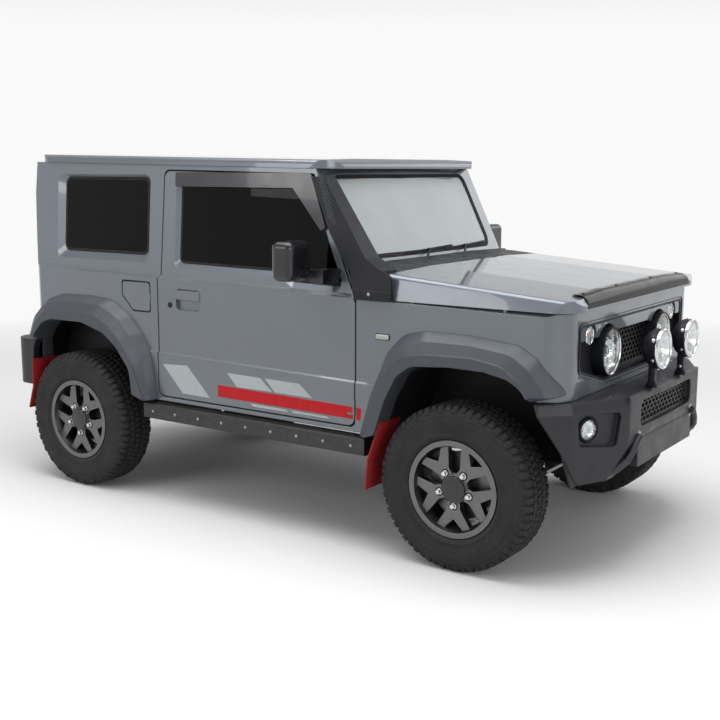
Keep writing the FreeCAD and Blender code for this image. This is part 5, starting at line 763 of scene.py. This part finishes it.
# Trim
def make_bonnet_guard():
    """Dark glossy strip that follows the bonnet's leading edge a little above it."""
    skin = surface_of("bonnet")
    form = bmesh.new()
    bmesh.ops.create_grid(form, x_segments=40, y_segments=6, size=1.0)
    for vert in form.verts:
        along = (vert.co.y + 1) / 2
        angle = math.radians(98 - 88 * along)
        direction = Vector((math.cos(angle), 0.0, math.sin(angle)))
        origin = Vector((GUARD_X, vert.co.x * (0.57 + 0.025 * along), GUARD_Z)) + direction * 0.4
        lift = 0.004 + 0.007 * math.sin(math.pi * min(1.0, along * 1.2))
        vert.co = hit_on(skin, origin, -direction) + direction * lift
    bmesh.ops.smooth_vert(form, verts=form.verts, factor=0.3,
                          use_axis_x=True, use_axis_y=False, use_axis_z=True)
    bmesh.ops.recalc_face_normals(form, faces=form.faces)
    if sum(face.normal.z for face in form.faces) < 0:
        bmesh.ops.reverse_faces(form, faces=form.faces)
    bmesh.ops.solidify(form, geom=form.faces[:], thickness=0.003)
    stud = nut_form(6, 4)
    for y in (-0.54, -0.2, 0.2, 0.54):
        foot = hit_on(skin, (1.575, y, 1.4), (0, 0, -1))
        merge_in(form, stud, Matrix.Translation(foot + Vector((0, 0, 0.009))), 1)
    piece("bonnet_guard", "bonnet", form, ["guard", "black_plastic"], 60.0)


# Finish and (x, z) outline of each film
STRIPES = [
    (0, [(-0.531, 0.698), (-0.370, 0.707), (-0.225, 0.564), (-0.401, 0.565)]),
    (0, [(-0.113, 0.698), (0.088, 0.696), (0.159, 0.639), (-0.053, 0.637)]),
    (0, [(0.115, 0.697), (0.316, 0.694), (0.389, 0.638), (0.176, 0.638)]),
    (0, [(0.030, 0.568), (0.238, 0.566), (0.252, 0.556), (0.046, 0.556)]),
    (0, [(0.266, 0.566), (0.470, 0.564), (0.484, 0.556), (0.282, 0.556)]),
    (1, [(-0.175, 0.634), (-0.173, 0.577), (0.5843, 0.5712), (0.5843, 0.6254)]),
    (1, [(0.584, 0.5872), (0.584, 0.5712), (0.612, 0.571), (0.612, 0.5872)]),
    (1, [(0.5853, 0.6254), (0.5853, 0.5885), (0.612, 0.5885), (0.612, 0.625)]),
]
WING_STRIPE = [(0.630, 0.6245), (0.630, 0.5705), (0.652, 0.5695), (0.657, 0.6225)]


def film_form(outline, skin, side):
    """Thin film that lies on a panel's outside, from an outline of (x, z) points."""
    form = bmesh.new()
    form.faces.new([form.verts.new((x, side * OUTSIDE_Y, z)) for x, z in outline])
    for axis, step in ((0, 0.03), (1, 0.012)):
        low = min(point[axis] for point in outline)
        high = max(point[axis] for point in outline)
        direction = (1 - axis, 0, axis)
        for index in range(1, int((high - low) / step) + 1):
            bmesh.ops.bisect_plane(form, geom=form.verts[:] + form.edges[:] + form.faces[:],
                                   plane_co=Vector(direction) * (low + index * step), plane_no=direction)
    for vert in form.verts:
        vert.co.y = hit_on(skin, vert.co, (0, -side, 0)).y - side * FILM_SINK
    raise_faces(form, form.faces[:], (0, side * FILM_THICKNESS, 0))
    return form


def make_stripes():
    """Decor films on the doors, with one more on each wing."""
    for side, word in SIDES:
        door = surface_of("door_" + word)
        form = bmesh.new()
        for finish, outline in STRIPES:
            merge_in(form, film_form(outline, door, side), Matrix(), finish)
        piece("door_stripes_" + word, "door_assembly_" + word, form, ["stripe", "stripe_red"])
        wing = surface_of("wing_" + word, "body_side_" + word)
        piece("wing_stripe_" + word, "body", film_form(WING_STRIPE, wing, side), ["stripe_red"])


def pane_band(name, outward, width, height=BAND_HEIGHT):
    """Rubber band round the outside of a pane."""
    form = bmesh.new()
    form.from_mesh(nodes[name].data)
    bmesh.ops.remove_doubles(form, verts=form.verts, dist=0.00005)
    bmesh.ops.dissolve_limit(form, angle_limit=math.radians(2.0), verts=form.verts, edges=form.edges)
    outward = Vector(outward)
    faces = [face for face in form.faces if face.normal.dot(outward) > 0.75]
    reach = max(face.calc_center_median().dot(outward) for face in faces)
    kept = [face for face in faces
            if face.calc_center_median().dot(outward) > reach - 0.05 and face.calc_area() > 0.01]
    bmesh.ops.delete(form, geom=[face for face in form.faces if face not in kept], context="FACES")
    inner = form.faces[:]
    bmesh.ops.inset_region(form, faces=inner, thickness=width, use_even_offset=True, use_boundary=True)
    bmesh.ops.delete(form, geom=inner, context="FACES")
    raise_faces(form, form.faces[:], outward * height)
    return form


def make_seals():
    """Rubber bands round all panes. The windscreen is crowned, so its band is higher."""
    for side, word in SIDES:
        band = pane_band("door_glass_" + word, (0, side, 0), 0.012)
        piece("seal_door_glass_" + word, "door_assembly_" + word, band, ["seal"])
    band = pane_band("tailgate_glass", (-1, 0, 0), 0.016)
    piece("seal_tailgate_glass", "tailgate_assembly", band, ["seal"])
    band = pane_band("windscreen", (0.91, 0, 0.414), 0.02, 0.0048)
    piece("seal_windscreen", "body", band, ["seal"])
    for side, word in SIDES:
        piece("seal_quarter_" + word, "body", pane_band("quarter_windows", (0, side, 0), 0.014), ["seal"])


def swept(points, radius):
    """Round bar through a row of points, closed at both ends."""
    form = bmesh.new()
    rings = []
    last = len(points) - 1
    for index, point in enumerate(points):
        run = Vector(points[min(last, index + 1)]) - Vector(points[max(0, index - 1)])
        ring = bmesh.ops.create_circle(form, cap_ends=index in (0, last), segments=10, radius=radius,
                                       matrix=turned_to(point, run))["verts"]
        rings.append({edge for vert in ring for edge in vert.link_edges
                      if all(end in ring for end in edge.verts)})
    for first, second in zip(rings, rings[1:]):
        bmesh.ops.bridge_loops(form, edges=list(first | second))
    bmesh.ops.recalc_face_normals(form, faces=form.faces)
    return form


def ring_plate(outline, width, height, rounding):
    """Raised band along the inside of an outline on XY."""
    form = bmesh.new()
    face = flat_face(form, outline)
    bmesh.ops.inset_region(form, faces=[face], thickness=width, use_even_offset=True, use_boundary=True)
    bmesh.ops.delete(form, geom=[face], context="FACES")
    raise_faces(form, form.faces[:], (0, 0, height))
    rims = [edge for edge in form.edges if len(edge.link_faces) == 2 and edge.calc_face_angle(0.0) > 0.9]
    round_edges(form, rims, rounding, 3)
    return form


def rounded(outline, radius):
    """Outline with its corners rounded by a bevel of its points."""
    form = bmesh.new()
    flat_face(form, outline)
    bmesh.ops.bevel(form, geom=form.verts[:], offset=radius, offset_type="OFFSET", segments=5, profile=0.5,
                    affect="VERTICES", material=-1)
    face = max(form.faces, key=lambda item: item.calc_area())
    return [(vert.co.x, vert.co.y) for vert in face.verts]


def make_front_trim():
    """Raised lip round the lamp recess, bright line over the mesh, lip and tabs of the bumper."""
    form = bmesh.new()
    outline = [(-0.6, 0.85), (-0.34, 0.776), (0.34, 0.776), (0.6, 0.85), (0.6, 1.051), (-0.6, 1.051)]
    lip = ring_plate(rounded(outline, 0.026), 0.0105, 0.0045, 0.002)
    face_forward = Matrix(((0, 0, 1, 1.5895), (1, 0, 0, 0), (0, 1, 0, 0), (0, 0, 0, 1)))
    merge_in(form, lip, face_forward)
    piece("recess_lip", "body", form, ["body_paint"])
    form = bmesh.new()
    merge_in(form, block((4, 386, 4.5), 1.5), at(1.558, 0, 0.9875))
    tab = block((12, 34, 15), 4)
    for side in (-1, 1):
        bar = [
            (1.752, side * 0.322, 0.57), (1.751, side * 0.352, 0.553), (1.748, side * 0.38, 0.522),
            (1.738, side * 0.415, 0.487), (1.712, side * 0.462, 0.455), (1.672, side * 0.53, 0.435),
            (1.63, side * 0.6, 0.43)]
        merge_in(form, swept(bar, 0.0155), Matrix(), 1)
        for z in (0.585, 0.545):
            merge_in(form, tab, at(1.745, side * 0.318, z) @ about("X", side * 20), 2)
        merge_in(form, block((16, 16, 1.6), 0.6, 1), at(1.672, side * 0.43, 0.7502), 3)
    piece("bumper_trim", "body", form, ["nut", "bumper", "pipe_steel", "seal"])


def make_side_fittings():
    """Door locks, side indicators and mirror faces."""
    lock = spun([(0, 0), (13.5, 0), (13.5, 2.5), (12, 4), (7.5, 4), (6.5, 1.5), (0, 1.5)], 32)
    face = block((1.6, 127, 132), 0.7, 1)
    for side, word in SIDES:
        inward = (0, -side, 0)
        door = surface_of("door_" + word)
        hit = hit_on(door, to_side(DOOR_LOCK, side), inward)
        form = bmesh.new()
        merge_in(form, lock, turned_to(hit, (0, side, 0)))
        merge_in(form, face, Matrix.Translation(to_side(MIRROR_FACE, side)), 1)
        piece("door_fittings_" + word, "door_assembly_" + word, form, ["black_plastic", "mirror"])
        wing = surface_of("wing_" + word)
        hit = hit_on(wing, to_side(SIDE_INDICATOR, side), inward)
        lamp = slab([
            (-30, -10.5), (30, -10.5), (33.5, -4), (33.5, 4), (30, 10.5), (-30, 10.5), (-33.5, 4),
            (-33.5, -4)], 7, 2)
        base = slab([
            (-34, -13.5), (34, -13.5), (38, -5), (38, 5), (34, 13.5), (-34, 13.5), (-38, 5),
            (-38, -5)], 2.5, 1)
        form = bmesh.new()
        upright = Matrix.Translation(hit) @ about("X", -90 * side)
        merge_in(form, base, upright)
        merge_in(form, lamp, upright, 1)
        piece("side_indicator_" + word, "body", form, ["black_plastic", "white_lens"])


def make_wipers():
    """Wiper arms from their pivots to blades at the foot of the windscreen."""
    screen = surface_of("windscreen", "windscreen_frame", "cowl")
    form = bmesh.new()
    cap = spun([(0, 0), (13, 0), (13, 12), (10.5, 18), (0, 19.5)], 28)
    pad = block((12, 50, 14), 3)
    for y in WIPER_PIVOTS:
        head = Vector((0.676, y, 1.222))
        merge_in(form, cap, Matrix.Translation(head + Vector((0, 0, -0.008))))
        middle = hit_on(screen, (0.9, y + 0.235, 1.268), (-1, 0, 0)) + Vector((0.011, 0, 0))
        run = middle - head
        arm = bmesh.new()
        bmesh.ops.create_cone(arm, cap_ends=True, segments=10, radius1=0.0085, radius2=0.004,
                              depth=run.length)
        bmesh.ops.translate(arm, vec=(0, 0, run.length / 2), verts=arm.verts)
        bmesh.ops.scale(arm, vec=(1.0, 0.6, 1.0), verts=arm.verts)
        merge_in(form, arm, turned_to(head + Vector((0, 0, 0.004)), run))
        blade = bmesh.new()
        bmesh.ops.create_cube(blade, size=1.0)
        bmesh.ops.scale(blade, vec=(0.007, BLADE_LENGTH, 0.009), verts=blade.verts)
        for index in range(1, 12):
            bmesh.ops.bisect_plane(blade, geom=blade.verts[:] + blade.edges[:] + blade.faces[:],
                                   plane_co=(0, BLADE_LENGTH * (index / 12 - 0.5), 0), plane_no=(0, 1, 0))
        for vert in blade.verts:
            start = Vector((0.9, middle.y + vert.co.y, middle.z + vert.co.y * 0.03))
            surface = hit_on(screen, start, (-1, 0, 0)).x
            vert.co = Vector((surface + 0.0055 + vert.co.x, start.y, start.z + vert.co.z))
        merge_in(form, blade, Matrix())
        merge_in(form, pad, Matrix.Translation(middle))
    made = piece("wiper_arms_and_blades", "body", form, ["black_plastic"])
    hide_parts("wipers")


def make_tailgate_fittings():
    """Pull handle, lock and high stop lamp of the tailgate."""
    form = bmesh.new()
    merge_in(form, block((6, 75, 170), 3), at(-1.5145, 0.5, 0.985))
    merge_in(form, block((18, 30, 130), 6, 3), at(-1.5235, 0.485, 0.985))
    lock = spun([(0, 0), (11, 0), (11, 2.5), (6.5, 3.5), (6, 1), (0, 1)], 28)
    merge_in(form, lock, turned_to((-1.5175, 0.52, 0.92), (-1, 0, 0)), 1)
    lamp = block((16, 200, 16), 4)
    merge_in(form, lamp, at(-1.4985, 0.0, 1.616), 2)
    piece("tailgate_fittings", "tailgate_assembly", form, ["black_plastic", "pipe_steel", "red_lens"])


def make_snorkel_grid():
    """Raised mesh bars on the snorkel's inlet, and the bolt of its foot."""
    skin = surface_of("snorkel")
    form = bmesh.new()
    bar = block((70, 2.4, 3), 0.8, 1)
    for index in range(MESH_BARS):
        z = 1.425 + index * 0.0135
        hit = hit_on(skin, (0.515 - (z - 1.381) * 0.37, -OUTSIDE_Y, z), (0, 1, 0))
        for lean in (38, -38):
            merge_in(form, bar, Matrix.Translation(hit) @ about("Y", lean))
    foot = hit_on(skin, (0.7, -OUTSIDE_Y, 1.125), (0, 1, 0))
    merge_in(form, nut_form(6, 4), turned_to(foot, (0, -1, 0)), 1)
    piece("snorkel_bars_and_bolts", "body", form, ["flare_plastic", "pipe_steel"])


def make_small_fasteners():
    """Bolt heads along the side steps, and the ribbed pads on them."""
    form = bmesh.new()
    bolt = nut_form(5.5, 4)
    pad = slab([(-600, 0), (630, 0), (630, 48), (-600, 48)], 3, 1, 1)
    rib = block((1200, 3, 2.2), 0.8, 1)
    for side in (-1, 1):
        for index in range(STEP_BOLTS):
            merge_in(form, bolt, turned_to((-0.58 + index * 0.15, side * 0.775, 0.459), (0, side, 0)))
        merge_in(form, pad, at(0.0, side * STEP_Y - 0.024, 0.4978), 1)
        for index in range(STEP_RIBS):
            merge_in(form, rib, at(0.015, side * STEP_Y - 0.02 + index * 0.008, 0.5018), 1)
    piece("step_pads_and_bolts", "body", form, ["pipe_steel", "seal"])


# Seats
def cushion_form(size, channels):
    """Stuffed block: rounded cube, crowned, with sides that pull in and two sewn channels along it."""
    form = bmesh.new()
    bmesh.ops.create_cube(form, size=2.0)
    bmesh.ops.subdivide_edges(form, edges=form.edges[:], cuts=17, use_grid_fill=True)
    for vert in form.verts:
        x, y, z = vert.co
        reach = (abs(x) ** 5 + abs(y) ** 5 + abs(z) ** 5) ** 0.2
        x, y, z = x / reach, y / reach, z / reach
        x *= 1.0 - 0.035 * (1.0 - y * y)
        y *= 1.0 - 0.035 * (1.0 - x * x)
        groove = math.exp(-((abs(y) - 0.56) / 0.05) ** 2)
        z *= 1.0 - channels * groove
        vert.co = Vector((x * size[0] / 2, y * size[1] / 2, z * size[2] / 2))
    return form


# Name, size, depth of the channels, place, lean in degrees and fill of each padded piece
CUSHIONS = [
    ("front_cushion", (0.47, 0.48, 0.125), 0.1, (-0.062, FRONT_SEAT_Y, 0.64), -4.0, 0.6),
    ("front_back", (0.105, 0.48, 0.545), 0.1, (-0.364, FRONT_SEAT_Y, 0.856), -11.1, 0.6),
    ("front_headrest", (0.092, 0.255, 0.17), 0.0, (-0.427, FRONT_SEAT_Y, 1.25), 0.0, 0.7),
    ("rear_cushion", (0.355, 0.53, 0.13), 0.1, (-0.807, REAR_SEAT_Y, 0.746), 0.0, 0.6),
    ("rear_back", (0.095, 0.53, 0.54), 0.1, (-1.03, REAR_SEAT_Y, 0.955), -11.8, 0.6),
]


def make_seats():
    """Padded pieces on the frames of two front seats, and those of the rear bench."""
    base = block((370, 390, 50), 10)
    post = spun([(0, 0), (6, 0), (6, 110), (0, 110)], 12)
    frames = bmesh.new()
    for side, word in SIDES:
        for name, size, channels, (x, y, z), lean, share in CUSHIONS:
            form = bmesh.new()
            merge_in(form, cushion_form(size, channels), at(x, side * y, z) @ about("Y", lean))
            made = piece(name + "_" + word, "body", form, ["seat_fabric"], 80.0)
        merge_in(frames, base, at(-0.07, side * FRONT_SEAT_Y, 0.5715))
        for shift in (-0.06, 0.06):
            merge_in(frames, post, at(-0.424, side * FRONT_SEAT_Y + shift, 1.09), 1)
    made = piece("seat_frames", "body", frames, ["black_plastic", "pipe_steel"])
    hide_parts("seats")


# Stage
def seen_rays(tree):
    """Rays from the camera, mirrors and glass, which see the pale background."""
    path = add_node(tree, "LightPath")
    bent = math_node(tree, "MAXIMUM", path.outputs["Is Glossy Ray"], path.outputs["Is Transmission Ray"])
    return math_node(tree, "MAXIMUM", path.outputs["Is Camera Ray"], bent)


def make_stage():
    """Pale floor, which goes over into the background away from the car."""
    form = bmesh.new()
    bmesh.ops.create_grid(form, x_segments=4, y_segments=4, size=FLOOR_HALF)
    mesh = bpy.data.meshes.new("floor")
    form.to_mesh(mesh)
    floor = bpy.data.objects.new("floor", mesh)
    bpy.context.scene.collection.objects.link(floor)
    material, tree, shader = new_material("floor_pale", (0.86, 0.86, 0.86), 0.85, specular=0.1)
    shown = mix_colour(tree, tone(tree, 0.6, 0.0, 1.0), (0.85, 0.85, 0.85), (0.87, 0.87, 0.87))
    link(tree, mix_colour(tree, seen_rays(tree), (0.4, 0.4, 0.39), shown), shader.inputs["Base Color"])
    distance = add_node(tree, "VectorMath", operation="LENGTH")
    link(tree, place(tree), distance.inputs[0])
    pale = add_node(tree, "Emission")
    pale.inputs["Color"].default_value = (0.95, 0.95, 0.95, 1.0)
    away = spread(tree, distance.outputs["Value"], 2.6, 7.5, 0.0, 1.0)
    far = math_node(tree, "MULTIPLY", away, seen_rays(tree))
    choice = add_node(tree, "MixShader")
    link(tree, far, choice.inputs["Fac"])
    link(tree, shader.outputs["BSDF"], choice.inputs[1])
    link(tree, pale.outputs["Emission"], choice.inputs[2])
    link(tree, choice.outputs["Shader"], tree.nodes["Material Output"].inputs["Surface"])
    mesh.materials.append(material)


def sky_ramp(tree, stops, strength):
    """Background whose brightness changes from the bottom up."""
    sky = add_node(tree, "ValToRGB")
    while len(sky.color_ramp.elements) < len(stops):
        sky.color_ramp.elements.new(0.5)
    for element, (position, level) in zip(sky.color_ramp.elements, stops):
        element.position = position
        element.color = (level, level, level, 1.0)
    height = one_axis(tree, add_node(tree, "TexCoord").outputs["Generated"], "Z")
    link(tree, spread(tree, height, -1.0, 1.0, 0.0, 1.0), sky.inputs["Fac"])
    shader = add_node(tree, "Background", Strength=strength)
    link(tree, sky.outputs["Color"], shader.inputs["Color"])
    return shader.outputs["Background"]


def make_world():
    """Soft light for the surfaces, and a paler studio for the rays that see it."""
    world = bpy.data.worlds.new("studio")
    bpy.context.scene.world = world
    world.use_nodes = True
    tree = world.node_tree
    tree.nodes.clear()
    output = add_node(tree, "OutputWorld")
    lit = sky_ramp(tree, [(0.0, 0.3), (0.5, 0.4), (0.62, 0.6), (1.0, 1.0)], 0.52)
    seen = sky_ramp(tree, [(0.0, 0.95), (0.56, 0.95), (0.66, 0.42), (0.8, 0.5), (0.92, 0.95)], 1.0)
    choice = add_node(tree, "MixShader")
    link(tree, seen_rays(tree), choice.inputs["Fac"])
    link(tree, lit, choice.inputs[1])
    link(tree, seen, choice.inputs[2])
    link(tree, choice.outputs["Shader"], output.inputs["Surface"])


def soft_light(name, position, target, width, height, power):
    """Rectangular lamp that looks at a target."""
    data = bpy.data.lights.new(name, "AREA")
    data.shape = "RECTANGLE"
    data.size = width
    data.size_y = height
    data.energy = power
    light = bpy.data.objects.new(name, data)
    light.location = position
    light.rotation_euler = (Vector(target) - Vector(position)).to_track_quat("-Z", "Y").to_euler()
    bpy.context.scene.collection.objects.link(light)


def make_lights():
    soft_light("light_top", (0.3, -0.8, 5.5), (0.0, 0.0, 0.6), 6.5, 4.0, 285.0)
    soft_light("light_side", (-2.5, -7.0, 3.4), (0.0, 0.0, 0.8), 5.0, 2.5, 115.0)
    soft_light("light_front", (7.0, -2.6, 2.8), (0.8, 0.0, 0.8), 4.0, 2.5, 95.0)
    soft_light("light_far_side", (2.9, 6.0, 4.0), (0.4, 0.0, 1.3), 4.6, 3.0, 60.0)


def make_camera():
    """Camera fitted to the photograph."""
    azimuth = math.radians(CAMERA_AZIMUTH)
    elevation = math.radians(CAMERA_ELEVATION)
    roll = math.radians(CAMERA_ROLL)
    forward = Vector((-math.sin(azimuth) * math.cos(elevation), math.cos(azimuth) * math.cos(elevation),
                      -math.sin(elevation)))
    right = Vector((math.cos(azimuth), math.sin(azimuth), 0.0))
    up = right.cross(forward)
    side = right * math.cos(roll) + up * math.sin(roll)
    top = up * math.cos(roll) - right * math.sin(roll)
    data = bpy.data.cameras.new("camera")
    data.lens = CAMERA_LENS
    data.sensor_width = 36.0
    data.clip_end = 200.0
    camera = bpy.data.objects.new("camera", data)
    turn = Matrix((side, top, -forward)).transposed().to_4x4()
    camera.matrix_world = Matrix.Translation(Vector(CAMERA_PLACE)) @ turn
    bpy.context.scene.collection.objects.link(camera)
    bpy.context.scene.camera = camera
    bpy.context.scene.view_settings.view_transform = "Standard"


make_camera()
make_world()
make_lights()
make_stage()
materials = make_materials()
dress_nodes()
make_wheels()
make_headlamps()
make_spot_lamps()
make_rear_lamps()
make_bonnet_guard()
make_stripes()
make_seals()
make_front_trim()
make_side_fittings()
make_wipers()
make_tailgate_fittings()
make_snorkel_grid()
make_small_fasteners()
make_seats()
